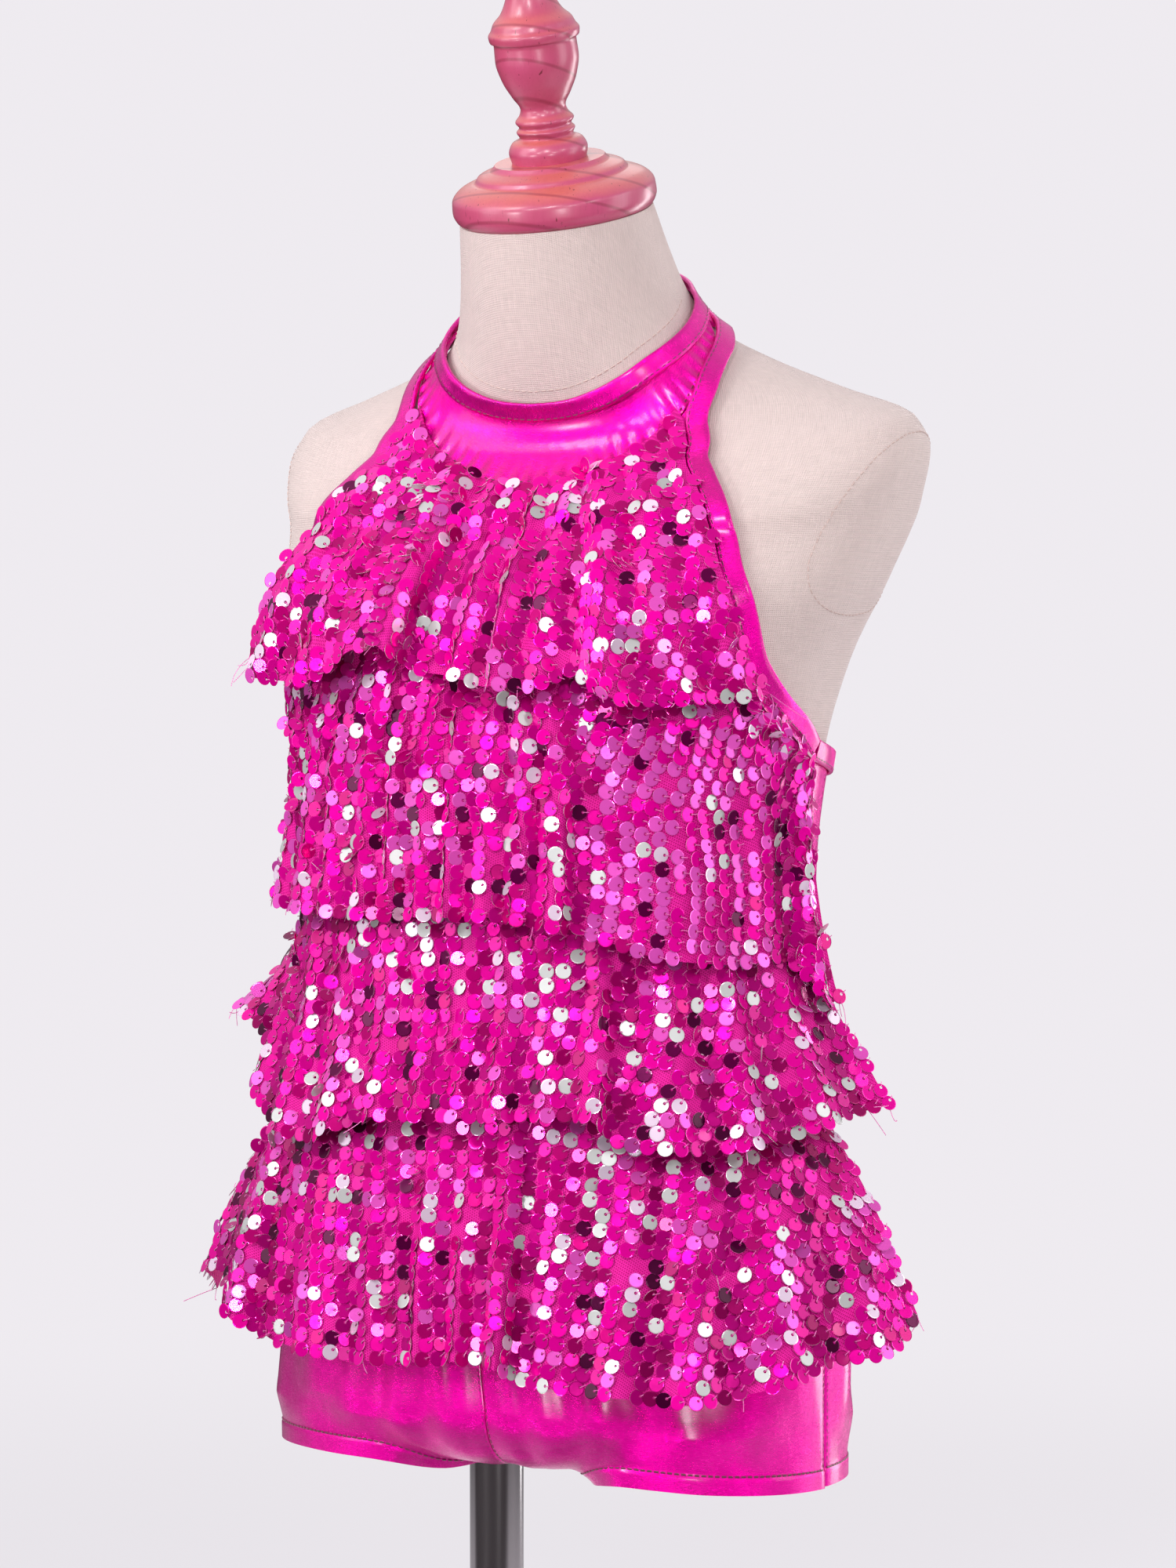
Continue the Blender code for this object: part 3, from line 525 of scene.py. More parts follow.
def beside_line(heights, angles, apart):
    """Line on the form that runs beside another at a distance, to the right of its run."""
    step = 0.5
    centre = form_point(heights, angles)
    upward = (form_point(heights + step, angles) - form_point(heights - step, angles)) / (2 * step)
    around = (form_point(heights, angles + step) - form_point(heights, angles - step)) / (2 * step)
    across = unit(np.cross(form_normal(heights, angles), np.gradient(centre, axis=0)))
    uu, ua, aa = (upward * upward).sum(-1), (upward * around).sum(-1), (around * around).sum(-1)
    cu, ca = (across * upward).sum(-1), (across * around).sum(-1)
    spread = uu * aa - ua * ua
    climb = apart * (cu * aa - ca * ua) / spread
    turn = apart * (ca * uu - cu * ua) / spread
    return heights + climb, angles + turn


def yoke_height(across):
    """Height where a column of the front panel meets the yoke."""
    height = 680.0
    for _ in range(30):
        height = 0.5 * height + 0.5 * float(yoke_edge(across * armhole(height)))
    return height


def tier_top(name, seam, across):
    """Height of a tier's gathered top edge."""
    if seam is None:
        return np.vectorize(yoke_height)(np.abs(across)) - SEAM_GAP
    return np.full_like(across, seam)


def inner_armhole():
    """Heights and angles just inside the armhole binding."""
    heights = np.linspace(ARMHOLE[-1][0], ARMHOLE[0][0], 40)
    apart = -(BINDING_WIDTH / 2 + TIER_EDGE_GAP)
    inner_height, inner_angle = beside_line(heights, armhole(heights), apart)
    order = np.argsort(inner_height)
    return inner_height[order], inner_angle[order]


INNER_ARMHOLE = inner_armhole()


def tier_edge(name, height):
    """Angle of a tier's side edge, just inside the armhole binding or at the side seam."""
    if name in ("tier_3", "tier_4"):
        return np.full_like(height, TIER_SIDE)
    along_armhole = np.interp(height, *INNER_ARMHOLE)
    return np.where(height < TIER_SIDE_START, TIER_SIDE, np.minimum(along_armhole, TIER_SIDE))


def tier_lift(order, height, across):
    """Lift of a tier's inner side: its flare, its folds and gathers, and clear of the tier below."""
    name, seam, power = TIERS[order]
    top = tier_top(name, seam, across[:1] if across.ndim > 1 else across)
    hem = tier_hem[name](across)
    down = np.clip((top - height) / (top - hem[..., 0]), 0, 1)
    lift = TIER_INNER + hem[..., 1] * down**power
    ramp = np.clip((down - GATHER_START) / (1 - GATHER_START), 0, 1) ** FOLD_GROWTH
    for at, right, left, rise in TIER_FOLDS[name]:
        width = np.where(across < at, right, left)
        lift = lift + rise * ramp * np.exp(-(((across - at) / width) ** 2))
    smooth = smooth_patch(name, across)
    for waves, rise, shift in GATHERS[name]:
        wave = np.sin(math.pi * waves * across + shift + order + 0.9 * np.sin(5 * across + order))
        lift = lift + rise * (1 + wave) * (1 - 0.45 * down) * np.minimum(down / 0.03, 1) * smooth
    if order + 1 < len(TIERS):
        below, below_seam, _ = TIERS[order + 1]
        angle = across * tier_edge(name, height)
        below_across = np.clip(angle / tier_edge(below, height), -1, 1)
        under = tier_lift(order + 1, height, below_across) + TIER_CLOTH + TIER_OVER_TIER
        near = np.clip((below_seam + TIER_HOLD - height) / TIER_HOLD, 0, 1)
        lift = np.where(near > 0, np.maximum(lift, TIER_INNER + (under - TIER_INNER) * near), lift)
    return lift


def smooth_patch(name, across):
    """How strongly a tier is gathered: less where the second tier hangs smooth."""
    if name != "tier_2":
        return np.ones_like(across)
    return 1 - 0.85 * np.exp(-(((across - SMOOTH_MIDDLE) / SMOOTH_HALF) ** 4))


def tier_places(order, columns, rows):
    """Heights, angles and lifts of a tier's grid, from its seam down to its hem."""
    name, seam, _ = TIERS[order]
    across = np.linspace(-1, 1, columns + 1)
    top = tier_top(name, seam, across)
    hem = tier_hem[name](across)[..., 0]
    height = top + (hem - top) * np.linspace(0, 1, rows + 1)[:, None]
    across = np.broadcast_to(across, height.shape)
    return height, across * tier_edge(name, height), tier_lift(order, height, across)


def tier_grid(order, columns, rows, extra=0.0):
    """Points of a tier's surface, with the lift raised by extra."""
    height, angle, lift = tier_places(order, columns, rows)
    return cloth_point(height, angle, lift + extra)


def local_relief(lift, reach):
    """How far each place of a grid stands above or below its row's running mean."""
    padded = np.pad(lift, ((0, 0), (reach, reach)), mode="edge")
    total = np.cumsum(np.pad(padded, ((0, 0), (1, 0))), axis=1)
    return lift - (total[:, 2 * reach + 1:] - total[:, :-2 * reach - 1]) / (2 * reach + 1)


# Meshes


def new_object(name, points, faces, material, uv=None, smooth=True, sharp=40.0):
    """Mesh object from points in millimetres."""
    mesh = bpy.data.meshes.new(name)
    mesh.from_pydata((np.asarray(points, float) * MM).tolist(), [], faces)
    mesh.update()
    if uv is not None:
        layer = mesh.uv_layers.new(name="cloth")
        corners = np.zeros(len(mesh.loops), np.int64)
        mesh.loops.foreach_get("vertex_index", corners)
        layer.data.foreach_set("uv", np.asarray(uv, float)[corners].ravel())
    if smooth:
        mesh.shade_smooth()
        mesh.set_sharp_from_angle(angle=math.radians(sharp))
    materials = material if isinstance(material, (list, tuple)) else [material]
    for one in materials:
        mesh.materials.append(one)
    piece = bpy.data.objects.new(name, mesh)
    bpy.context.scene.collection.objects.link(piece)
    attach(piece, "root")
    return piece


def grid_uv(points):
    """Distances along the rows and columns of a grid, in centimetres, for weave that follows cloth."""
    along = np.zeros(points.shape[:2])
    along[:, 1:] = np.cumsum(np.linalg.norm(np.diff(points, axis=1), axis=-1), axis=1)
    along -= along[:, along.shape[1] // 2][:, None]
    down = np.zeros(points.shape[:2])
    down[1:] = np.cumsum(np.linalg.norm(np.diff(points, axis=0), axis=-1), axis=0)
    return np.stack([along, down], axis=-1) / 10


def new_wall(name, outer, inner, material):
    """Closed cloth wall between two grids of points, rows by columns, outer grid first."""
    rows, columns = outer.shape[:2]
    count = rows * columns
    points = np.concatenate([outer.reshape(-1, 3), inner.reshape(-1, 3)])
    uv = np.concatenate([grid_uv(outer).reshape(-1, 2)] * 2)
    i, j = np.meshgrid(np.arange(rows - 1), np.arange(columns - 1), indexing="ij")
    a = (i * columns + j).ravel()
    quads = np.stack([a, a + 1, a + 1 + columns, a + columns], axis=-1)
    border = list(range(columns))
    border += [k * columns + columns - 1 for k in range(1, rows)]
    border += [(rows - 1) * columns + k for k in range(columns - 2, -1, -1)]
    border += [k * columns for k in range(rows - 2, 0, -1)]
    edge = np.array(border)
    after = np.roll(edge, -1)
    sides = np.stack([edge, edge + count, after + count, after], axis=-1)
    out = np.cross(outer[0, 1] - outer[0, 0], outer[1, 0] - outer[0, 0])
    if out @ (outer[0, 0] - inner[0, 0]) < 0:
        quads, sides = quads[:, ::-1], sides[:, ::-1]
    faces = np.concatenate([quads, quads[:, ::-1] + count, sides]).tolist()
    return new_object(name, points, faces, material, uv)


def new_tube(name, rings, material):
    """Solid through rings of points, capped at both ends."""
    rings = np.asarray(rings)
    count, sides = rings.shape[:2]
    index = np.arange(count * sides).reshape(count, sides)
    here, ahead = index[:-1], index[1:]
    quads = np.stack([here, np.roll(here, -1, axis=1), np.roll(ahead, -1, axis=1), ahead], axis=-1)
    faces = quads.reshape(-1, 4).tolist() + [index[0, ::-1].tolist(), index[-1].tolist()]
    girth = np.linalg.norm(np.diff(rings, axis=1, append=rings[:, :1]), axis=-1)
    girth = np.concatenate([np.zeros((count, 1)), np.cumsum(girth, axis=1)[:, :-1]], axis=1)
    run = np.broadcast_to(gone_along(rings.mean(1))[:, None], girth.shape)
    uv = np.stack([girth, run], axis=-1) / 10
    return new_object(name, rings.reshape(-1, 3), faces, material, uv.reshape(-1, 2))


def fine_profile(rows):
    """A turned profile's rows with smooth points between them."""
    table = np.array(rows, float)
    run = gone_along(table)
    curve = make_curve(np.column_stack([run, table]))
    finer = [np.linspace(low, high, PROFILE_STEPS + 1) for low, high in zip(run, run[1:])]
    return curve(np.unique(np.concatenate(finer)))


def new_turned(name, profile, centre, lean, material, sides=96):
    """Turned solid: profile rows of height and radius, about an axis leaning to the front."""
    turn = np.arange(sides) * 2 * np.pi / sides
    tilt = math.radians(lean)
    rings = []
    for height, radius in profile:
        x, y = radius * np.sin(turn), -radius * np.cos(turn)
        rings.append(np.stack([
            centre[0] + x,
            centre[1] + y * math.cos(tilt) - height * math.sin(tilt),
            centre[2] + y * math.sin(tilt) + height * math.cos(tilt),
        ], axis=-1))
    return new_tube(name, rings, material)


def along_path(points, normals, step):
    """Places at even steps along a line, with its direction and the surface's normal there."""
    gone = gone_along(points)

    def values_at(at, values):
        return np.stack([np.interp(at, gone, values[:, k]) for k in range(3)], axis=-1)

    at = np.arange(0.0, gone[-1], step)
    way = values_at(at + 0.5, points) - values_at(at - 0.5, points)
    way /= np.linalg.norm(way, axis=-1, keepdims=True) + 1e-9
    return values_at(at, points), way, unit(values_at(at, normals))


def bars(name, place, way, out, size, material):
    """Small sewn stitches: one low rounded bar of length, width and rise at each place."""
    length, width, rise = size
    side = np.cross(out, way)
    rows = []
    for along, across, up in (
        (-0.5, -0.5, 0), (-0.5, 0.5, 0), (-0.5, 0, 0.6), (0, -0.5, 0), (0, 0.5, 0), (0, 0, 1),
        (0.5, -0.5, 0), (0.5, 0.5, 0), (0.5, 0, 0.6),
    ):
        rows.append(place + way * along * length + side * across * width + out * (up * rise))
    points = np.stack(rows, axis=1).reshape(-1, 3)
    block = [
        (0, 3, 5, 2), (3, 6, 8, 5), (4, 1, 2, 5), (7, 4, 5, 8), (1, 4, 3, 0), (4, 7, 6, 3),
        (1, 0, 2), (6, 7, 8),
    ]
    faces = [tuple(k * 9 + v for v in face) for k in range(len(place)) for face in block]
    return new_object(name, points, faces, material, sharp=80.0)


# Materials


def srgb(red, green, blue):
    """Linear colour from the 0 to 255 values of a picture."""
    value = np.array([red, green, blue]) / 255
    linear = np.where(value <= 0.04045, value / 12.92, ((value + 0.055) / 1.055) ** 2.4)
    return (*linear, 1.0)


def rgba(colour, share=1.0):
    """A property's colour for a node, darker or lighter by a share."""
    return tuple(min(1.0, c * share) for c in colour) + (1.0,)


def connect(tree, socket, value):
    """Link an output to a socket, or set the socket's own value."""
    if isinstance(value, bpy.types.NodeSocket):
        tree.links.new(value, socket)
    else:
        socket.default_value = value


def feed(tree, node, inputs):
    """Link or set a node's inputs by name."""
    for name, value in inputs.items():
        connect(tree, node.inputs[name], value)


def add_node(tree, kind, inputs=None, **values):
    """New node with its own settings, and its inputs fed by name."""
    node = tree.nodes.new(kind)
    for name, value in values.items():
        setattr(node, name, value)
    feed(tree, node, inputs or {})
    return node


def calculate(tree, operation, first, second=0.0, third=0.0):
    """Output of a Math node."""
    node = add_node(tree, "ShaderNodeMath", operation=operation)
    for socket, value in zip(node.inputs, (first, second, third)):
        connect(tree, socket, value)
    return node.outputs[0]


def mix_colour(tree, factor, first, second):
    """Output of a colour mix."""
    node = add_node(tree, "ShaderNodeMix", data_type="RGBA")
    for socket, value in ((node.inputs[0], factor), (node.inputs[6], first), (node.inputs[7], second)):
        connect(tree, socket, value)
    return node.outputs[2]


def noise(tree, place, scale, detail=2.0, roughness=0.5):
    """Soft noise from 0 to 1."""
    return add_node(tree, "ShaderNodeTexNoise", {
        "Vector": place, "Scale": scale, "Detail": detail, "Roughness": roughness}).outputs["Fac"]


def remap(tree, value, low, high, first=0.0, last=1.0, **values):
    """A value that runs from low to high, made to run from first to last."""
    node = add_node(tree, "ShaderNodeMapRange", {
        "Value": value, "From Min": low, "From Max": high, "To Min": first, "To Max": last}, **values)
    return node.outputs[0]


def axes_of(tree, vector):
    """The three numbers of a vector, by the axis's name."""
    return add_node(tree, "ShaderNodeSeparateXYZ", {"Vector": vector}).outputs


def object_place(tree):
    """Place on a piece, in metres."""
    return add_node(tree, "ShaderNodeTexCoord").outputs["Object"]


def cloth_place(tree):
    """Place on the cloth as it would lie flat, in centimetres."""
    return add_node(tree, "ShaderNodeUVMap", uv_map="cloth").outputs[0]


def new_group(name, inputs, outputs):
    """Empty shader node group with named sockets: its tree, its input node and its output node."""
    tree = bpy.data.node_groups.new(name, "ShaderNodeTree")
    for socket, kind, value in inputs:
        made = tree.interface.new_socket(socket, in_out="INPUT", socket_type=kind)
        if value is not None:
            made.default_value = value
    for socket, kind in outputs:
        tree.interface.new_socket(socket, in_out="OUTPUT", socket_type=kind)
    return tree, tree.nodes.new("NodeGroupInput"), tree.nodes.new("NodeGroupOutput")


def shared(build):
    """Builds a node group the first time it is asked for, and hands out the same one after that."""
    name = build.__name__

    def wrapped():
        return bpy.data.node_groups.get(name) or build(name)

    return wrapped


@shared
def crossing_threads(name):
    """Crossing threads with slubs: height and shade of plain cloth."""
    tree, given, result = new_group(
        name,
        [
            ("Vector", "NodeSocketVector", None), ("Threads", "NodeSocketFloat", 14.0),
            ("Slubs", "NodeSocketFloat", 0.5),
        ],
        [("Height", "NodeSocketFloat"), ("Shade", "NodeSocketFloat")],
    )
    place = axes_of(tree, given.outputs["Vector"])
    waves = []
    for axis in ("X", "Y"):
        run = calculate(tree, "MULTIPLY", place[axis], given.outputs["Threads"])
        waves.append(calculate(tree, "SINE", calculate(tree, "MULTIPLY", run, math.tau)))
    threads = calculate(tree, "MAXIMUM", *waves)
    streaks = []
    for squeeze in ((0.4, 9.0, 1.0), (9.0, 0.4, 1.0)):
        moved = add_node(tree, "ShaderNodeMapping", {"Vector": given.outputs["Vector"], "Scale": squeeze})
        streaks.append(noise(tree, moved.outputs[0], 2.6, 3.0))
    slubs = calculate(tree, "SUBTRACT", calculate(tree, "ADD", *streaks), 1.0)
    slubs = calculate(tree, "MULTIPLY", slubs, given.outputs["Slubs"])
    height = calculate(tree, "ADD", calculate(tree, "MULTIPLY", threads, 0.5), slubs)
    shade = calculate(tree, "ADD", calculate(tree, "MULTIPLY", threads, 0.18), slubs)
    feed(tree, result, {"Height": height, "Shade": calculate(tree, "ADD", shade, 0.5)})
    return tree


@shared
def net_cells(name):
    """Six-sided cells of tulle: 1 on a thread, 0 in a cell."""
    tree, given, result = new_group(
        name,
        [("Vector", "NodeSocketVector", None), ("Cells", "NodeSocketFloat", 11.0)],
        [("Thread", "NodeSocketFloat")],
    )
    place = axes_of(tree, given.outputs["Vector"])
    total = None
    for turn in (0, 60, 120):
        across = calculate(tree, "MULTIPLY", place["X"], math.cos(math.radians(turn)))
        along = calculate(tree, "MULTIPLY", place["Y"], math.sin(math.radians(turn)))
        run = calculate(tree, "MULTIPLY", calculate(tree, "ADD", across, along), given.outputs["Cells"])
        wave = calculate(tree, "COSINE", calculate(tree, "MULTIPLY", run, math.tau))
        total = wave if total is None else calculate(tree, "ADD", total, wave)
    feed(tree, result, {"Thread": remap(tree, total, 0.9, -0.4)})
    return tree


@shared
def fine_streaks(name):
    """Fine streaks across a cloth or along wood: height and shade."""
    tree, given, result = new_group(
        name,
        [
            ("Vector", "NodeSocketVector", None), ("Stretch", "NodeSocketVector", (1.0, 20.0, 1.0)),
            ("Scale", "NodeSocketFloat", 6.0), ("Roughness", "NodeSocketFloat", 0.6),
        ],
        [("Height", "NodeSocketFloat"), ("Shade", "NodeSocketFloat")],
    )
    moved = add_node(
        tree, "ShaderNodeMapping", {"Vector": given.outputs["Vector"], "Scale": given.outputs["Stretch"]})
    streaks = noise(tree, moved.outputs[0], given.outputs["Scale"], 5.0, given.outputs["Roughness"])
    broad = noise(tree, given.outputs["Vector"], 1.3)
    shade = calculate(
        tree, "ADD", calculate(tree, "MULTIPLY", streaks, 0.7), calculate(tree, "MULTIPLY", broad, 0.3))
    feed(tree, result, {"Height": streaks, "Shade": shade})
    return tree


@shared
def twisted_strand(name):
    """Twist of a thread: its colour, from dark to light, and its height."""
    tree, given, result = new_group(
        name,
        [
            ("Vector", "NodeSocketVector", None), ("Scale", "NodeSocketFloat", 1400.0),
            ("Dark", "NodeSocketColor", (0.1, 0.1, 0.1, 1.0)),
            ("Light", "NodeSocketColor", (0.8, 0.8, 0.8, 1.0)),
        ],
        [("Colour", "NodeSocketColor"), ("Height", "NodeSocketFloat")],
    )
    twist = noise(tree, given.outputs["Vector"], given.outputs["Scale"])
    colour = mix_colour(tree, twist, given.outputs["Dark"], given.outputs["Light"])
    feed(tree, result, {"Colour": colour, "Height": twist})
    return tree


def new_material(name):
    """Material with a Principled shader: its tree and its shader."""
    material = bpy.data.materials.new(name)
    material.use_nodes = True
    return material, material.node_tree, material.node_tree.nodes["Principled BSDF"]


def use_group(tree, group, inputs):
    """Shared group placed in a material with its own values: its outputs by name."""
    return add_node(tree, "ShaderNodeGroup", inputs, node_tree=group).outputs


def bump(tree, shader, height, strength, distance):
    """Bump from a height onto the shader."""
    node = add_node(tree, "ShaderNodeBump", {
        "Height": height, "Strength": strength, "Distance": distance})
    tree.links.new(node.outputs[0], shader.inputs["Normal"])


def once(build):
    """Makes a material the first time it is asked for, and hands out the same one after that."""
    name = f"{build.__name__}_look"

    def wrapped(*values):
        return bpy.data.materials.get(name) or build(name, *values)

    return wrapped


@once
def foil_cloth(name, colour):
    """Foil-printed stretch knit: pink metal film over fine cross ribs."""
    material, tree, shader = new_material(name)
    place = cloth_place(tree)
    ribs = use_group(tree, fine_streaks(), {
        "Vector": place, "Stretch": (1.2, 26.0, 1.0), "Scale": 3.0, "Roughness": 0.55})
    folds = noise(tree, place, 0.55, 2.0, 0.45)
    streak = remap(tree, ribs["Shade"], 0.32, 0.62)
    feed(tree, shader, {
        "Base Color": mix_colour(tree, streak, rgba(colour, 0.7), rgba(colour)),
        "Roughness": remap(tree, streak, 0.0, 1.0, 0.36, 0.24),
        "Metallic": 0.8,
        "Specular IOR Level": 0.04,
        "Coat Weight": 0.5,
        "Coat Roughness": 0.19,
    })
    height = calculate(tree, "ADD", calculate(tree, "MULTIPLY", ribs["Height"], 0.34), folds)
    bump(tree, shader, height, 0.32, 0.003)
    return material


@once
def sequin_net(name, colour):
    """Tulle over the panel: thread cells, lighter threads over darker gaps."""
    material, tree, shader = new_material(name)
    place = cloth_place(tree)
    cells = use_group(tree, net_cells(), {"Vector": place, "Cells": 11.0})["Thread"]
    thread = mix_colour(tree, noise(tree, place, 1.4, 3.0), rgba(colour), srgb(240, 40, 170))
    feed(tree, shader, {
        "Base Color": mix_colour(tree, cells, srgb(190, 0, 116), thread),
        "Roughness": 0.6,
        "Specular IOR Level": 0.12,
    })
    bump(tree, shader, cells, 0.6, 0.0004)
    return material


@once
def sequin_face(name):
    """Coloured side of a sequin: metal film under clear plastic, its tint stored on the mesh, with
    painted highlights, painted reflections and painted shade in it.
    """
    material, tree, shader = new_material(name)
    tint = add_node(tree, "ShaderNodeAttribute", attribute_name="tint")
    feed(tree, shader, {
        "Base Color": tint.outputs["Color"],
        "Metallic": 0.36,
        "Roughness": 0.17,
        "Specular IOR Level": 0.05,
        "Coat Weight": 0.22,
        "Coat Roughness": 0.04,
    })
    bump(tree, shader, noise(tree, object_place(tree), 420.0, 1.0), 0.05, 0.0002)
    return material


@once
def sequin_back(name):
    """Silver side of a sequin, its grey following the red of the stored tint, painted shade and
    highlights included.
    """
    material, tree, shader = new_material(name)
    tint = add_node(tree, "ShaderNodeAttribute", attribute_name="tint")
    red = add_node(tree, "ShaderNodeSeparateColor", {"Color": tint.outputs["Color"]}).outputs[0]
    shade = remap(tree, red, 0.0, 1.0, 0.42, 0.62)
    grey = add_node(tree, "ShaderNodeCombineColor", {"Red": shade, "Green": shade, "Blue": shade})
    feed(tree, shader, {
        "Base Color": grey.outputs[0],
        "Metallic": 0.3,
        "Roughness": 0.35,
        "Coat Weight": 0.5,
    })
    return material


@once
def sewing_thread(name, colour):
    """Twisted polyester thread."""
    material, tree, shader = new_material(name)
    strand = use_group(tree, twisted_strand(), {
        "Vector": object_place(tree), "Scale": 1500.0, "Dark": rgba(colour, 0.5), "Light": rgba(colour)})
    feed(tree, shader, {"Base Color": strand["Colour"], "Roughness": 0.5, "Sheen Weight": 0.3})
    bump(tree, shader, strand["Height"], 0.3, 0.0002)
    return material


@once
def net_thread(name):
    """Pale pink filament of the net and the sequin sewing."""
    material, tree, shader = new_material(name)
    strand = use_group(tree, twisted_strand(), {
        "Vector": object_place(tree), "Scale": 1400.0,
        "Dark": srgb(214, 40, 150), "Light": srgb(246, 150, 216)})
    feed(tree, shader, {"Base Color": strand["Colour"], "Roughness": 0.4})
    return material


@once
def linen_thread(name):
    """Pale thread of the form's seams."""
    material, tree, shader = new_material(name)
    strand = use_group(tree, twisted_strand(), {
        "Vector": object_place(tree), "Scale": 1200.0,
        "Dark": srgb(188, 160, 155), "Light": srgb(216, 192, 186)})
    feed(tree, shader, {"Base Color": strand["Colour"], "Roughness": 0.8})
    return material


@once
def linen(name, colour):
    """Plain-woven linen with slubs."""
    material, tree, shader = new_material(name)
    weave = use_group(tree, crossing_threads(), {
        "Vector": cloth_place(tree), "Threads": 11.0, "Slubs": 0.6})
    tint = mix_colour(tree, weave["Shade"], rgba(colour, 0.6), rgba(colour, 1.12))
    cloud = calculate(tree, "MULTIPLY", noise(tree, object_place(tree), 9.0, 3.0), 0.25)
    feed(tree, shader, {
        "Base Color": mix_colour(tree, cloud, tint, srgb(214, 188, 188)),
        "Roughness": 0.9,
        "Sheen Weight": 0.25,
    })
    bump(tree, shader, weave["Height"], 0.5, 0.0005)
    return material


@once
def stained_wood(name, colour):
    """Stained and varnished wood with growth rings."""
    material, tree, shader = new_material(name)
    place = object_place(tree)
    moved = add_node(tree, "ShaderNodeMapping", {
        "Vector": place, "Location": (0.013, 0.03, 0.0), "Rotation": (0.22, 0.12, 0.0)})
    rings = add_node(tree, "ShaderNodeTexWave", {
        "Vector": moved.outputs[0], "Scale": 24.0, "Distortion": 0.7, "Detail": 2.0, "Detail Scale": 0.8,
    }, wave_type="RINGS", rings_direction="Y")
    line = remap(tree, rings.outputs["Fac"], 0.0, 0.04, 0.45)
    pores = use_group(tree, fine_streaks(), {
        "Vector": place, "Stretch": (1.0, 1.0, 0.06), "Scale": 700.0, "Roughness": 0.6})
    blotch = noise(tree, place, 30.0, 4.0)
    pink = mix_colour(tree, blotch, srgb(206, 78, 136), rgba(colour))
    upward = axes_of(tree, add_node(tree, "ShaderNodeNewGeometry").outputs["Normal"])["Z"]
    # Faces that look upward, and blotches, turn towards a lighter orange
    upward_orange = calculate(tree, "ADD", upward, calculate(tree, "MULTIPLY", blotch, 0.9))
    warm = mix_colour(tree, remap(tree, upward_orange, 0.75, 1.5, 0.0, 0.9), pink, srgb(226, 118, 92))
    grain = mix_colour(tree, calculate(tree, "MULTIPLY", pores["Shade"], 0.5), warm, srgb(150, 44, 70))
    ringed = mix_colour(tree, line, srgb(132, 34, 58), grain)
    speck = remap(tree, pores["Height"], 0.3, 0.36)
    feed(tree, shader, {
        "Base Color": mix_colour(tree, speck, srgb(112, 28, 44), ringed),
        "Roughness": 0.4,
        "Coat Weight": 0.7,
        "Coat Roughness": 0.24,
    })
    bump(tree, shader, pores["Height"], 0.12, 0.0003)
    return material


@once
def chrome_plate(name, colour):
    """Polished chrome with fine handling marks."""
    material, tree, shader = new_material(name)
    marks = use_group(tree, fine_streaks(), {
        "Vector": object_place(tree), "Stretch": (1.0, 1.0, 0.05), "Scale": 300.0, "Roughness": 0.6})
    feed(tree, shader, {
        "Base Color": rgba(colour),
        "Roughness": remap(tree, marks["Shade"], 0.0, 1.0, 0.08, 0.2),
        "Metallic": 1.0,
    })
    return material


@once
def snap_plastic(name):
    """Pink moulded snap."""
    material, tree, shader = new_material(name)
    speck = noise(tree, object_place(tree), 260.0)
    feed(tree, shader, {
        "Base Color": mix_colour(tree, speck, srgb(214, 30, 140), srgb(232, 60, 160)),
        "Roughness": 0.3,
    })
    return material


@once
def studio_paper(name, colour):
    """Matt paper of the floor, which fades into the backdrop's own light far from the stand.

    Its front part is dark to all but the camera's own view, like a dark card before shiny things.
    """
    material, tree, shader = new_material(name)
    place = object_place(tree)
    away = add_node(tree, "ShaderNodeVectorMath", {0: place}, operation="LENGTH").outputs["Value"]
    far = remap(tree, away, *FLOOR_FADE, interpolation_type="SMOOTHSTEP")
    tint = mix_colour(tree, noise(tree, place, 30.0, 3.0), rgba(colour, 0.985), rgba(colour))
    seen = add_node(tree, "ShaderNodeLightPath").outputs["Is Camera Ray"]
    distant = mix_colour(tree, seen, (0.03, 0.03, 0.03, 1.0), BACKDROP)
    glow = mix_colour(tree, far, rgba(BACKDROP[:3], 0.5), distant)
    front = remap(tree, axes_of(tree, place)["Y"], *FRONT_FLOOR)
    hidden = calculate(tree, "MULTIPLY", front, calculate(tree, "SUBTRACT", 1.0, seen))
    plain = mix_colour(tree, far, tint, (0.0, 0.0, 0.0, 1.0))
    feed(tree, shader, {
        "Base Color": mix_colour(tree, hidden, plain, (0.04, 0.04, 0.04, 1.0)),
        "Emission Color": mix_colour(tree, hidden, glow, (0.04, 0.03, 0.035, 1.0)),
        "Emission Strength": 1.0,
        "Specular IOR Level": 0.0,
        "Roughness": 1.0,
    })
    return material


# The form and its stand


def along_neck_axis(rise):
    """Point on the leaning axis of the cap and finial, a rise above the linen."""
    tilt = math.radians(CAP_LEAN)
    centre_y = FORM_SECTIONS[-1][1]
    return (FORM_MIDDLE_X, centre_y - rise * math.sin(tilt), NECK_TOP + rise * math.cos(tilt))


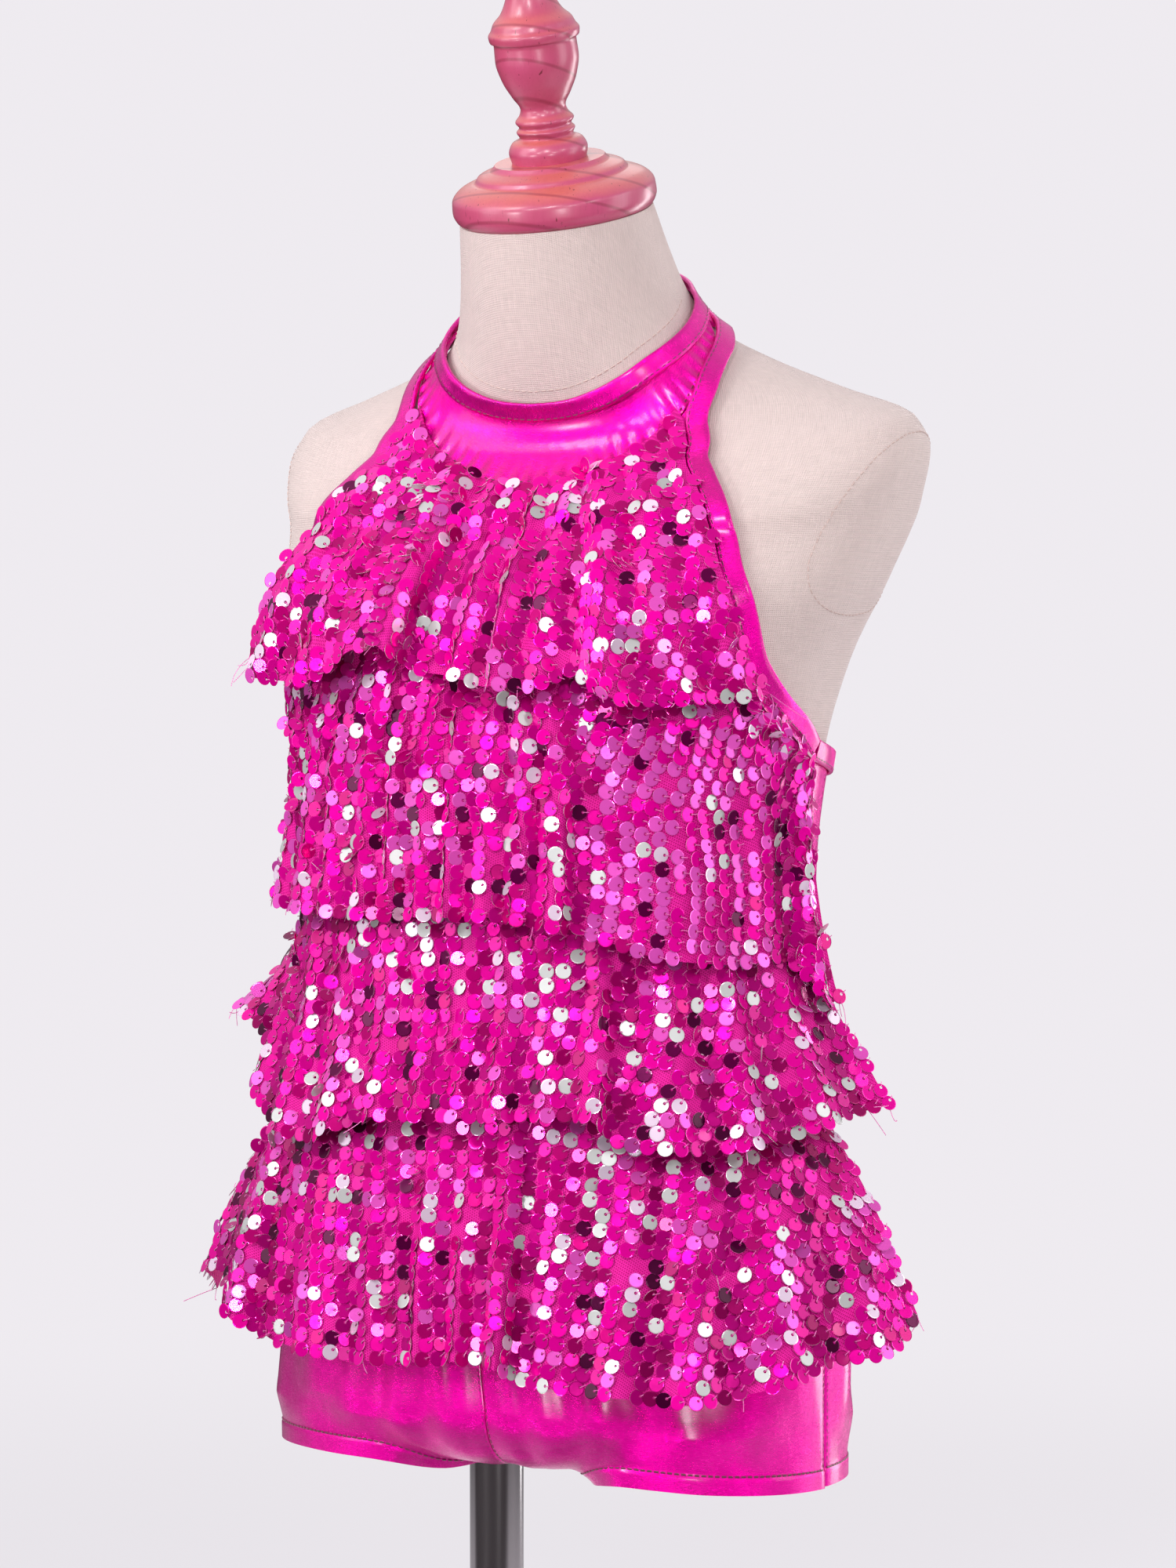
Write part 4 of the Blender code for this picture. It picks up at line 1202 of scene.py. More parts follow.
def build_linen_form(colours):
    """Linen torso with its neck, shoulders and rounded lower rim, and its seams."""
    rim = RIM_TOP - RIM_RADIUS * np.cos(np.linspace(0, np.pi / 2, 9))
    body, shoulders = np.linspace(RIM_TOP, 600, 50), np.linspace(600, NECK_TOP, 76)
    heights = np.unique(np.concatenate([rim, body, shoulders]))
    sides = 132
    angles = np.arange(sides + 1) * 360 / sides
    grid = form_point(heights[:, None], angles[None, :], rounded=True)
    uv = grid_uv(np.roll(grid, sides // 2, axis=1))
    uv = np.roll(uv, -(sides // 2), axis=1)
    rows, columns = grid.shape[:2]
    index = np.arange(rows * columns).reshape(rows, columns)
    quads = np.stack([index[:-1, :-1], index[:-1, 1:], index[1:, 1:], index[1:, :-1]], axis=-1)
    faces = quads.reshape(-1, 4).tolist() + [index[0, -2::-1].tolist(), index[-1, :-1].tolist()]
    form = new_object("linen_form", grid.reshape(-1, 3), faces, linen(colours.linen), uv.reshape(-1, 2))
    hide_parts("form_torso")
    build_form_seams()


def arm_plate_line(mirror):
    """Heights and angles of the seam round an arm plate."""
    top_x, top_z = ARM_PLATE_TOP
    round_z, round_rate = ARM_PLATE_ROUND
    middle_height, middle_angle = ARM_PLATE_MIDDLE
    line = []
    for turn in np.radians(np.arange(0, 360, 3)):
        reach = np.linspace(2, 70, 273)
        height = np.clip(middle_height + reach * np.cos(turn), 560, 700)
        angle = middle_angle + reach * np.sin(turn) * 0.75
        point = form_point(height, angle)
        z = point[..., 2]
        seam_x = top_x - ARM_PLATE_SLOPE * (top_z - z) + round_rate * np.maximum(0, round_z - z) ** 2
        outside = np.nonzero(point[..., 0] < seam_x)[0]
        first = outside[0] if len(outside) else len(reach) - 1
        line.append((height[first], angle[first] * mirror))
    return np.array(line + line[:1])


def build_form_seams():
    """Stitched seams round the neck and round the two arm plates."""
    thread = linen_thread()
    around = np.linspace(-96, 96, 160)
    lines = {
        "neck_seam": np.column_stack([neckline(np.abs(around)) + 3.0, around]),
        "arm_plate_seam_left": arm_plate_line(1),
        "arm_plate_seam_right": arm_plate_line(-1),
    }
    for name, line in lines.items():
        heights, angles = line[:, 0], line[:, 1]
        points = cloth_point(heights, angles, 0.02)
        place, way, out = along_path(points, form_normal(heights, angles), LINEN_STITCH_STEP)
        seam = bars(name, place, way, out, LINEN_STITCH, thread)


def build_wood(colours):
    """Turned neck cap, and the finial that stands on it."""
    wood = stained_wood(colours.wood)
    foot = along_neck_axis(WOOD_GAP)
    cap = new_turned("neck_cap_turned", fine_profile(CAP_PROFILE), foot, CAP_LEAN, wood)
    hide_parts("neck_cap")
    foot = along_neck_axis(FINIAL_BASE_TOP + WOOD_GAP)
    finial = new_turned("finial_turned", fine_profile(FINIAL_PROFILE), foot, CAP_LEAN, wood, sides=72)
    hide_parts("finial")


def build_stand(colours):
    """Chrome base with its collar, and the pole that carries the form."""
    chrome = chrome_plate(colours.chrome)
    rows = []
    for (low, radius), (high, after) in zip(BASE_PROFILE, BASE_PROFILE[1:]):
        rows += [(low + (high - low) * t, radius + (after - radius) * t) for t in (0.04, 0.5, 0.96)]
    profile = [BASE_PROFILE[0]] + rows + [BASE_PROFILE[-1]]
    base = new_turned("base_turned", profile, (0, 0, 0), 0, chrome, sides=160)
    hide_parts("base")
    tube = [(BASE_PROFILE[-1][0], POLE_RADIUS), (FORM_BOTTOM - 0.3, POLE_RADIUS)]
    pole = new_turned("pole_tube", tube, (0, 0, 0), 0, chrome, sides=64)
    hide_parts("pole")


# Foil cloth


def edge_sink(shape):
    """How far a panel's edges sink into their seams, over its grid."""
    sink = np.zeros(shape)
    sink[0] = sink[-1] = sink[:, 0] = sink[:, -1] = EDGE_SINK
    return sink


def cloth_wall(name, height, angle, material, outer=PANEL_OUTER):
    """Panel on the form whose edges sink a little into their seams."""
    top = cloth_point(height, angle, outer - edge_sink(height.shape))
    return new_wall(name, top, cloth_point(height, angle, EASE - 0.4), material)


def with_edges(values, near=0.012):
    """Even steps with one more close to each end, for a rolled edge."""
    step = near * (values[-1] - values[0])
    return np.sort(np.concatenate([values, [values[0] + step, values[-1] - step]]))


def back_edge(angles):
    """Height of the back's upper edge, which rises to the sides."""
    return BACK_TOP + BACK_RISE * (np.abs(angles - 180) / 90) ** 4


def build_yoke(cloth, foil):
    """Foil crescent under the neck, puckered along its lower edge."""
    end = YOKE_END + YOKE_UNDER_STRAP
    angles = with_edges(np.linspace(-end, end, 320), 0.003)
    top = neckline(np.abs(angles)) - BINDING_WIDTH / 2
    low = np.where(np.abs(angles) > YOKE_END, top - STRAP_BAND, yoke_edge(np.abs(angles)) + SEAM_GAP)
    height = low + (top - low) * np.array(YOKE_ROWS)[:, None]
    up = (height - low) / PUCKER_FADE
    waves = np.sin(angles * 1.15 + 0.9 * np.sin(angles * 0.21))
    pucker = PUCKER_RISE * waves * np.exp(-up) * np.minimum(up * 5, 1) * (np.abs(angles) < YOKE_END)
    angle = np.broadcast_to(angles, height.shape)
    yoke = cloth_wall("yoke_foil", height, angle, foil, PANEL_OUTER + pucker)
    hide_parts("yoke")
    line = np.linspace(-72, 72, 200)
    edge = yoke_edge(np.abs(line)) + 1.3
    thread = sewing_thread(cloth.thread)
    seam = stitch_line("yoke_edge_stitches", edge, line, PANEL_OUTER + 0.05, thread, YOKE_STITCH_STEP)


def build_panels(cloth):
    """Yoke, and the bodice's front and back."""
    foil = foil_cloth(cloth.foil)
    build_yoke(cloth, foil)
    across = np.linspace(-1, 1, 56)
    top = np.array([yoke_height(abs(u)) for u in across]) - SEAM_GAP
    height = (WAIST + SEAM_GAP) + (top - WAIST - SEAM_GAP) * (np.linspace(0, 1, 46) ** 0.8)[:, None]
    edge = np.where(height < UNDERARM, SIDE, np.minimum(armhole(height), SIDE))
    front = cloth_wall("bodice_front_foil", height, across * edge, foil)
    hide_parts("bodice_front")

    angles = with_edges(np.linspace(180 - SIDE, 180 + SIDE, 90), 0.004)
    top = back_edge(angles) - 1.0
    height = WAIST + SEAM_GAP + (top - WAIST - SEAM_GAP) * np.linspace(0, 1, 40)[:, None]
    back = cloth_wall("bodice_back_foil", height, np.broadcast_to(angles, height.shape), foil)
    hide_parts("bodice_back")


def binding_rings(heights, angles, lift):
    """Folded strip along a line on the form, with rounded edges."""
    half, thick = STRIP_WIDTH / 2, BINDING_THICK
    section = [(-half + 0.5, 0), (-half + 0.08, 0.35)]
    for turn in np.radians((200, 170, 140, 110)):
        section.append((-half + 0.9 + 0.9 * math.cos(turn), thick - 0.9 + 0.9 * math.sin(turn)))
    section += [(x, thick - 0.05 * (1 - abs(x) / half)) for x in (-2, -0.7, 0.7, 2)]
    for turn in np.radians((70, 40, 10, -20)):
        section.append((half - 0.9 + 0.9 * math.cos(turn), thick - 0.9 + 0.9 * math.sin(turn)))
    section += [(half - 0.5, 0), (0, 0)]
    rings = []
    for apart, rise in section:
        height, angle = beside_line(heights, angles, apart)
        rings.append(cloth_point(height, angle, lift + rise))
    return np.stack(rings, axis=1)


def strap_lift(angles):
    """Lift of the bindings: over the yoke in front, and down on the neck behind its ends."""
    return np.interp(np.abs(angles), (YOKE_END + 1, YOKE_END + 12), (BINDING_LIFT, EASE))


def armhole_path(mirror):
    """Heights and angles of the armhole line, from the nape to the side seam."""
    upper = np.linspace(NAPE_END, 58, 70)
    lower = np.concatenate([np.linspace(690, 600, 48)[1:], np.linspace(600, 547.6, 34)[1:]])
    heights = np.concatenate([armhole_top(upper), lower])
    angles = np.concatenate([upper, armhole(lower)])
    for _ in range(3):
        heights[1:-1] = (heights[:-2] + 2 * heights[1:-1] + heights[2:]) / 4
        angles[1:-1] = (angles[:-2] + 2 * angles[1:-1] + angles[2:]) / 4
    return heights, mirror * angles


def stitch_line(name, heights, angles, lift, material, step=CLOTH_STITCH_STEP):
    """Row of stitches on the cloth along a line."""
    points = cloth_point(heights, angles, lift)
    place, way, out = along_path(points, form_normal(heights, angles), step)
    stitches = bars(name, place, way, out, CLOTH_STITCH, material)
    return stitches


def build_bindings(cloth):
    """Folded strips round the neck, the armholes and the back's upper edge, with their stitches."""
    foil, thread = foil_cloth(cloth.foil), sewing_thread(cloth.thread)
    lines = {}
    angles = np.linspace(-NAPE_END, NAPE_END, 190)
    heights = neckline(np.abs(angles)) - BINDING_WIDTH / 2
    lines["neck_binding"] = (heights, angles, strap_lift(angles), -3.0)
    for side, mirror in (("left", 1), ("right", -1)):
        heights, angles = armhole_path(mirror)
        lines[f"armhole_binding_{side}"] = (heights, angles, strap_lift(angles), -3.0 * mirror)
    angles = np.linspace(90.6, 269.4, 120)
    lines["back_binding"] = (back_edge(angles) - 2.0, angles, np.full_like(angles, BINDING_LIFT), -3.0)
    for name, (heights, angles, lift, apart) in lines.items():
        rings = binding_rings(heights, angles, lift)
        strip = new_tube(f"{name}_foil", rings, foil)
        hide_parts(name)
        row, turn = beside_line(heights, angles, apart)
        stitches = stitch_line(f"{name}_stitches", row, turn, lift + BINDING_THICK - 0.1, thread)


def shorts_point(face, side, apart, row, opening, lift):
    """Point of the shorts: degrees from the centre seam, and row from the waist to the leg.

    Above the rim the cloth lies on the form. Below it, it turns under by the opening's own
    angle: not at all at the sides, and all the way at the crotch.
    """
    above, below_share = row
    waist = WAIST - SEAM_GAP
    height = waist - above * (waist - RIM_TOP)
    seam = side * angle_of(height, centre_seam(height) + side * SEAM_GAP)
    rim_seam = side * float(angle_of(RIM_TOP, centre_seam(RIM_TOP)))
    front_angle = side * (seam + apart / (90 - rim_seam) * (SIDE - seam))
    angle = front_angle if face > 0 else 180 - front_angle
    start = cloth_point(height, angle, lift)
    out = form_normal(height, angle)
    out[..., 2] = 0
    out = unit(out)

    turn_to, length = np.moveaxis(opening(apart), -1, 0)
    turn = np.radians(np.clip(turn_to, 0, 90))
    below = below_share * length
    radius = RIM_RADIUS + lift
    bend = np.minimum(below / (RIM_RADIUS + EASE), turn)
    straight = below - bend * (RIM_RADIUS + EASE)
    under = (turn / (np.pi / 2))[..., None]
    inward = unit(-out * (1 - under) + np.array([0, face, 0]) * under)
    point = start - out * (radius * (1 - np.cos(bend)))[..., None]
    point += inward * (straight * np.sin(bend))[..., None]
    point[..., 2] -= radius * np.sin(bend) + straight * np.cos(bend)
    slide = np.clip(straight / CROTCH_SLIDE_RUN, 0, 1)[..., None] * under
    point[..., :1] += CROTCH_SLIDE * slide * slide * (3 - 2 * slide)
    return point


def build_shorts(cloth):
    """Four shorts panels with their wrinkles, leg hems and stitches."""
    foil, thread = foil_cloth(cloth.foil), sewing_thread(cloth.thread)
    above = np.concatenate([[0, 0.008], np.linspace(0.03, 1, 22), np.ones(34)])[:, None]
    below = np.concatenate([np.zeros(24), np.linspace(0.02, 0.985, 33), [1.0]])[:, None]
    for face_name, face in (("front", 1), ("back", -1)):
        for side_name, side in (("left", 1), ("right", -1)):
            opening = eased_opening(make_curve(LEG_OPENINGS[f"{side_name}_{face_name}"]))
            reach = 90 - side * float(angle_of(RIM_TOP, centre_seam(RIM_TOP)))
            columns = np.concatenate([np.linspace(0, 40, 34), np.linspace(40, reach, 24)[1:]])
            apart, up, down = np.broadcast_arrays(with_edges(columns, 0.006), above, below)
            length = opening(apart)[..., 1]
            hem = np.clip((LEG_HEM - (1 - down) * length) / 1.2, 0, 1) * (up >= 1)
            wrinkle = shorts_wrinkle(face, side, apart, reach, up, down)
            sink = np.zeros_like(apart)
            sink[0] = sink[:, 0] = sink[:, -1] = EDGE_SINK
            lift = PANEL_OUTER + 0.5 * hem + wrinkle - sink
            outer = shorts_point(face, side, apart, (up, down), opening, lift)
            inner = shorts_point(face, side, apart, (up, down), opening, np.full_like(lift, EASE - 0.3))
            name = f"shorts_{face_name}_{side_name}"
            piece = new_wall(f"{name}_foil", outer, inner, foil)
            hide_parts(name)
            stitches = leg_stitches(name, face, side, opening, reach, thread)


def eased_opening(opening):
    """The leg's opening with a softer bend where the hem leaves the crotch."""

    def eased(apart):
        share = np.clip((apart - 19) / 6, 0, 1)[..., None]
        steps = np.linspace(-6, 6, 9)
        near = np.mean([opening(np.clip(apart + step, 0, 88)) for step in steps], axis=0)
        return opening(apart) * (1 - share) + near * share

    return eased


def shorts_wrinkle(face, side, apart, reach, up, down):
    """Rise of the slanting wrinkles that run from the crotch to the hip, and of the fold over the leg."""
    phase = 7.0 * (up + 0.5 * down) + 1.7 * side + 0.8 * face
    waves = 1.7 + np.sin(apart * 0.17 + phase) + 0.7 * np.sin(apart * 0.41 - 0.7 * phase)
    calm = np.clip(apart / 9, 0, 1) * np.clip((reach - apart) / 9, 0, 1) * np.clip(up * 2.5, 0, 1)
    at, rise = OVER_LEG[side]
    over_leg = rise * np.exp(-(((apart - at) / 6.5) ** 2)) * np.clip((up - 0.55) / 0.45, 0, 1)
    return (0.85 * waves + over_leg) * calm * np.clip((0.75 - down) / 0.5, 0.12, 1)


def leg_stitches(name, face, side, opening, reach, thread):
    """Stitches above the leg's hem, beside the centre seam and beside the side seam."""
    hem = np.linspace(1.5, reach - 0.6, 260)
    down = np.linspace(0.05, 2.0, 200)
    runs = [(hem, np.ones_like(hem), 1 - (LEG_HEM + 0.1) / opening(hem)[:, 1], 0.42)]
    for apart in (0.75, reach - 0.8):
        at = np.full_like(down, apart)
        runs.append((at, np.minimum(down, 1), np.clip(down - 1, 0, 0.97), -0.1))
    kept = []
    for apart, above, below, rise in runs:
        lift = np.full_like(apart, PANEL_OUTER + rise)
        line = shorts_point(face, side, apart, (above, below), opening, lift)
        inside = shorts_point(face, side, apart, (above, below), opening, lift - 1)
        way, out = unit(np.gradient(line, axis=0)), line - inside
        out = out - way * (out * way).sum(-1, keepdims=True)
        kept.append(along_path(line, unit(out), HEM_STITCH_STEP))
    place, way, out = (np.concatenate(parts) for parts in zip(*kept))
    stitches = bars(f"{name}_stitches", place, way, out, HEM_STITCH, thread)
    return stitches


def build_nape(cloth):
    """Tab and snap that close the two ends of the halter behind the neck."""
    foil = foil_cloth(cloth.foil)
    angles = with_edges(np.linspace(166, 194, 22), 0.02)
    heights = with_edges(np.linspace(711, 726, 12), 0.03)[:, None]
    height, angle = np.broadcast_arrays(heights, angles)
    low = EASE + BINDING_THICK + 0.15
    outer = cloth_point(height, angle, low + TAB_THICK - edge_sink(height.shape))
    tab = new_wall("nape_tab_foil", outer, cloth_point(height, angle, low), foil)
    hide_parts("nape_tab")
    middle = cloth_point(SNAP_HEIGHT, 180.0, low + TAB_THICK)
    out = form_normal(SNAP_HEIGHT, 180.0)
    beside = np.array([1.0, 0.0, 0.0])
    upward = np.cross(out, beside)
    turn = np.arange(40)[:, None] * 2 * np.pi / 40
    rings = [
        middle + out * rise + radius * (beside * np.cos(turn) + upward * np.sin(turn))
        for rise, radius in SNAP_PROFILE
    ]
    snap = new_tube("nape_snap_moulded", rings, snap_plastic())
    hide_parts("nape_snap")


# Ruffle tiers and their sequins


def build_tiers(cloth):
    """Gathered net of the four tiers, with its folds and flare."""
    net = sequin_net(cloth.net)
    for order, (name, _, _) in enumerate(TIERS):
        outer = tier_grid(order, TIER_COLUMNS, TIER_ROWS, TIER_CLOTH)
        inner = tier_grid(order, TIER_COLUMNS, TIER_ROWS)
        shell = new_wall(f"{name}_net", outer, inner, net)
        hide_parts(name)


def sequin_shape(radius):
    """Points and faces of one sequin: a thin disc, a little dished, with a hole off its middle."""
    sides, hole_sides = SEQUIN_SIDES, HOLE_SIDES
    turn = np.arange(sides) * 2 * np.pi / sides
    hole_turn = np.arange(hole_sides) * 2 * np.pi / hole_sides
    disc = np.stack([np.sin(turn), np.cos(turn)], axis=-1)
    hole = np.stack([np.sin(hole_turn), np.cos(hole_turn)], axis=-1) * HOLE_RADIUS * radius
    hole = hole + (0, HOLE_OUT * radius)
    points = [
        np.column_stack([disc * radius, np.full(sides, 0.0)]),
        np.column_stack([disc * radius * FLAT_SHARE, np.full(sides, 0.06)]),
        np.column_stack([hole, np.full(hole_sides, 0.05)]),
        np.column_stack([disc * radius, np.full(sides, -0.1)]),
        np.column_stack([hole, np.full(hole_sides, -0.12)]),
    ]
    edge, ring, rim, under, well = 0, sides, 2 * sides, 2 * sides + hole_sides, 3 * sides + hole_sides
    face, back = [], []
    for i in range(sides):
        j = (i + 1) % sides
        face.append((edge + j, edge + i, ring + i, ring + j))
        back.append((edge + i, edge + j, under + j, under + i))
    for h in range(hole_sides):
        k = (h + 1) % hole_sides
        a, b, c = 2 * h, 2 * h + 1, (2 * h + 2) % sides
        face += [
            (ring + a, rim + h, ring + b), (ring + b, rim + h, rim + k), (ring + b, rim + k, ring + c),
        ]
        back += [
            (under + b, well + h, under + a), (under + b, well + k, well + h),
            (under + c, well + k, under + b), (rim + k, rim + h, well + h, well + k),
        ]
    return np.concatenate(points), face, back


def sequin_places(order, settings, chance):
    """Middles, normals and hole directions of a tier's sequins, row by row from its hem."""
    name = TIERS[order][0]
    height, angle, lift = (values[::-1] for values in tier_places(order, 720, 60))
    grid = cloth_point(height, angle, lift + TIER_CLOTH)
    relief = local_relief(lift, 26)
    across = np.linspace(-1, 1, grid.shape[1])
    climb = np.zeros(grid.shape[:2])
    climb[1:] = np.cumsum(np.linalg.norm(np.diff(grid, axis=0), axis=-1), axis=0)
    covered = covered_from(order, across)
    found = []
    pitch, row_pitch = settings.pitch / MM, settings.row_pitch / MM
    count = int(climb[-1].max() / row_pitch)
    columns = np.arange(grid.shape[1])
    for row in range(count + 1):
        at = FIRST_ROW + row * row_pitch
        index = np.clip((climb < at).sum(0), 1, len(grid) - 1)
        low, high = climb[index - 1, columns], climb[index, columns]
        share = np.clip((at - low) / np.maximum(high - low, 1e-6), 0, 1)[:, None]
        line = grid[index - 1, columns] * (1 - share) + grid[index, columns] * share
        up = grid[index, columns] - grid[index - 1, columns]
        along = np.gradient(line, axis=0)
        out = unit(np.cross(along, up))
        gone = gone_along(line)
        start = pitch * (0.5 * (row % 2) + 0.12) + 0.6
        places = np.arange(start, gone[-1] - 0.5, pitch)
        places = places + chance.normal(0, 0.35, len(places))
        j = np.clip(np.searchsorted(gone, places), 0, len(gone) - 1)
        sewn = chance.random(len(j)) > SEQUINS_MISSING
        j = j[(at < climb[-1, j] - 1.5) & (line[j, 2] < covered[j]) & sewn]
        # Painted shadow of the tier above: half as bright at its hem, fully bright 14 mm below it
        clear_of_hem_shadow = np.clip((covered[j] - UNDER_TIER - line[j, 2]) / 14.0, 0, 1)
        found.append((line[j], out[j], unit(along[j]), across[j], relief[index[j], j], clear_of_hem_shadow))
    place, out, way, across, relief, clear_of_hem_shadow = (np.concatenate(parts) for parts in zip(*found))
    up = np.cross(out, way)
    up *= np.sign(up[:, 2:] + 1e-9)
    turn = np.radians(HOLE_TURN[name] + chance.normal(0, 13, len(place)))[:, None]
    hole = up * np.cos(turn) + np.cross(up, out) * np.sin(turn)
    return place, out, hole, across, np.clip(relief / 1.4, -1, 1), clear_of_hem_shadow


def covered_from(order, across):
    """Height above which the tier over this one hides it."""
    if order == 0:
        return np.full_like(across, 1000.0)
    above = TIERS[order - 1][0]
    ratio = 1.0
    if above == "tier_1":
        ratio = TIER_SIDE / tier_edge(above, np.full_like(across, 570.0))
    return tier_hem[above](np.clip(across * ratio, -1, 1))[..., 0] + UNDER_TIER


def light_patch(place):
    """Slow change over the cloth, from 0 to 1, of how many sequins are pale with painted highlights and
    how few are dark with painted reflections.
    """
    x, z = place[:, 0], place[:, 2]
    wave = np.sin(x * 0.071 + 1.1) * np.sin(z * 0.053 + 0.4) + 0.6 * np.sin(x * 0.17 - z * 0.11 + 2.0)
    return np.clip(wave * 0.5 + 0.35, 0, 1)


def pick_tints(place, smooth, relief, shade, chance):
    """Colour of each sequin, with more painted highlights on ridges and in patches of painted light, more
    painted dark reflections in troughs, darkened by the painted shade it is given.
    """
    shares = np.array([row[0] for row in SEQUIN_TINTS])
    colours = np.array([srgb(*row[1]) for row in SEQUIN_TINTS])
    change = np.array([row[2] for row in SEQUIN_TINTS])
    # Ridges raise the share of painted highlights, troughs the share of painted dark reflections
    patch = light_patch(place)[:, None] - 0.35 + 0.55 * relief[:, None]
    weight = np.maximum(shares * (1 + change * patch * 1.4), 0.004)
    weight[smooth] = SMOOTH_TINTS
    weight /= weight.sum(1, keepdims=True)
    kind = (chance.random(len(place))[:, None] > np.cumsum(weight, axis=1)).sum(1)
    kind = np.minimum(kind, len(SEQUIN_TINTS) - 1)
    tint = colours[kind]
    tint[:, :3] *= chance.uniform(0.88, 1.06, (len(place), 1)) * shade[:, None]
    return np.clip(tint, 0, 1)


def build_sequins(settings):
    """Sequins of each tier, tilted and tinted one by one, their tints holding painted highlights,
    reflections and shade, and the strand that sews each one down.
    """
    thread = net_thread()
    radius = settings.radius / MM
    shape, face, back = sequin_shape(radius)
    for order, (name, _, _) in enumerate(TIERS):
        chance = np.random.default_rng(settings.seed + order)
        place, out, hole, across, relief, clear_of_hem_shadow = sequin_places(order, settings, chance)
        count = len(place)
        smooth = (smooth_patch(name, across) < 0.5) & (place[:, 2] < SMOOTH_TOP)
        loose = np.where(chance.random(count) < 0.05 + 0.12 * np.maximum(-relief, 0), 4.0, 1.0)
        loose = np.where(smooth, np.minimum(loose, 1.0) * 0.3, loose)
        nod = np.abs(chance.normal(0.5, 0.8, count)) * settings.tilt * loose + np.where(smooth, 0.3, 0.0)
        roll = chance.normal(0, 0.9, count) * settings.tilt * loose
        flank = (across > FLANK[0]) & (across < FLANK[1]) & (order == 0) & (place[:, 2] < FLANK_TOP)
        roll = np.where(flank, -0.8 + 0.35 * roll, roll)
        nodded = hole * np.tan(np.clip(nod, 0, 1.1))[:, None]
        rolled = np.cross(hole, out) * np.tan(np.clip(roll, -1.1, 1.1))[:, None]
        normal = unit(out + nodded + rolled)
        y_axis = unit(hole - normal * (hole * normal).sum(-1, keepdims=True))
        x_axis = np.cross(y_axis, normal)
        lift = 0.45 + radius * (np.abs(np.sin(nod)) * 0.75 + np.abs(np.sin(roll)) * 0.8)
        middle = place + out * lift[:, None]
        flip = chance.random(count) < settings.flipped
        points = (
            middle[:, None] + shape[None, :, :1] * x_axis[:, None] + shape[None, :, 1:2] * y_axis[:, None]
            + shape[None, :, 2:] * normal[:, None]
        )
        faces = [tuple(k * len(shape) + v for v in one) for k in range(count) for one in face + back]
        sequins = new_object(
            f"{name}_sequins", points.reshape(-1, 3), faces, [sequin_face(), sequin_back()], smooth=False)
        slots = np.tile(np.array([0] * len(face) + [1] * len(back), np.int32), (count, 1))
        slots[flip] = 1 - slots[flip]
        sequins.data.polygons.foreach_set("material_index", slots.ravel())
        tint = sequins.data.attributes.new("tint", "FLOAT_COLOR", "POINT")
        # Painted shade: darker in the troughs of folds, in the painted shadow under the tier above, on
        # the lower tiers and on tier 1's flank
        shade = (1 - 0.45 * np.maximum(-relief, 0)) * (0.5 + 0.5 * clear_of_hem_shadow) * TIER_SHADE[order]
        colours = pick_tints(place, smooth, relief, np.where(flank, 0.72, 1.0) * shade, chance)
        tint.data.foreach_set("color", np.repeat(colours, len(shape), axis=0).ravel())
        start = middle + hole * radius * HOLE_OUT
        end = start + hole * radius * 0.75 + out * 0.1
        sewn_at = (start + end) / 2 + out * 0.12
        strands = bars(f"{name}_threads", sewn_at, hole, out, (radius * 0.8, 0.34, 0.22), thread)


def build_thread_ends():
    """Loose thread ends at the tiers' corners and along their hems."""
    chance = np.random.default_rng(5)
    rings = []
    for order in range(len(TIERS)):
        hem = tier_grid(order, 60, 1, TIER_CLOTH)[1]
        for at in (0, 0, 1, 21, 38, 52, 59, 60, 60):
            length = chance.uniform(7, 17) * (1.0 if at in (0, 60) else 0.5)
            steps = np.linspace(0, 1, 12)[:, None]
            away = np.array([np.sign(at - 30) * 0.5, -0.35, -0.9]) + chance.normal(0, 0.35, 3)
            bend = chance.normal(0, 0.8, 3)
            line = hem[at] + length * (steps * away / np.linalg.norm(away) + steps**2 * bend * 0.4)
            rings.append(line)
    turn = np.arange(5) * 2 * np.pi / 5
    section = np.stack([np.cos(turn), np.sin(turn), np.zeros(5)], axis=-1) * 0.16
    points = np.stack(rings)[:, :, None] + section[:, [0, 2, 1]]
    count, steps, sides = points.shape[:3]
    index = np.arange(count * steps * sides).reshape(count, steps, sides)
    beside = np.roll(index, -1, axis=2)
    quads = np.stack([index[:, :-1], beside[:, :-1], beside[:, 1:], index[:, 1:]], axis=-1)
    faces = quads.reshape(-1, 4).tolist()
    faces += [end.tolist() for one in index for end in (one[0][::-1], one[-1])]
    ends = new_object("thread_ends", points.reshape(-1, 3), faces, net_thread())


# Stage


def build_camera(scene):
    """Camera at the photograph's viewing angle."""
    camera = bpy.data.objects.new("camera", bpy.data.cameras.new("camera"))
    camera.data.lens = CAMERA_LENS
    camera.data.sensor_width = CAMERA_SENSOR
    camera.location = CAMERA_PLACE
    camera.rotation_euler = (math.radians(90 - CAMERA_DIP), 0, math.radians(CAMERA_TURN))
    scene.collection.objects.link(camera)
    scene.camera = camera
    scene.view_settings.view_transform = "Standard"


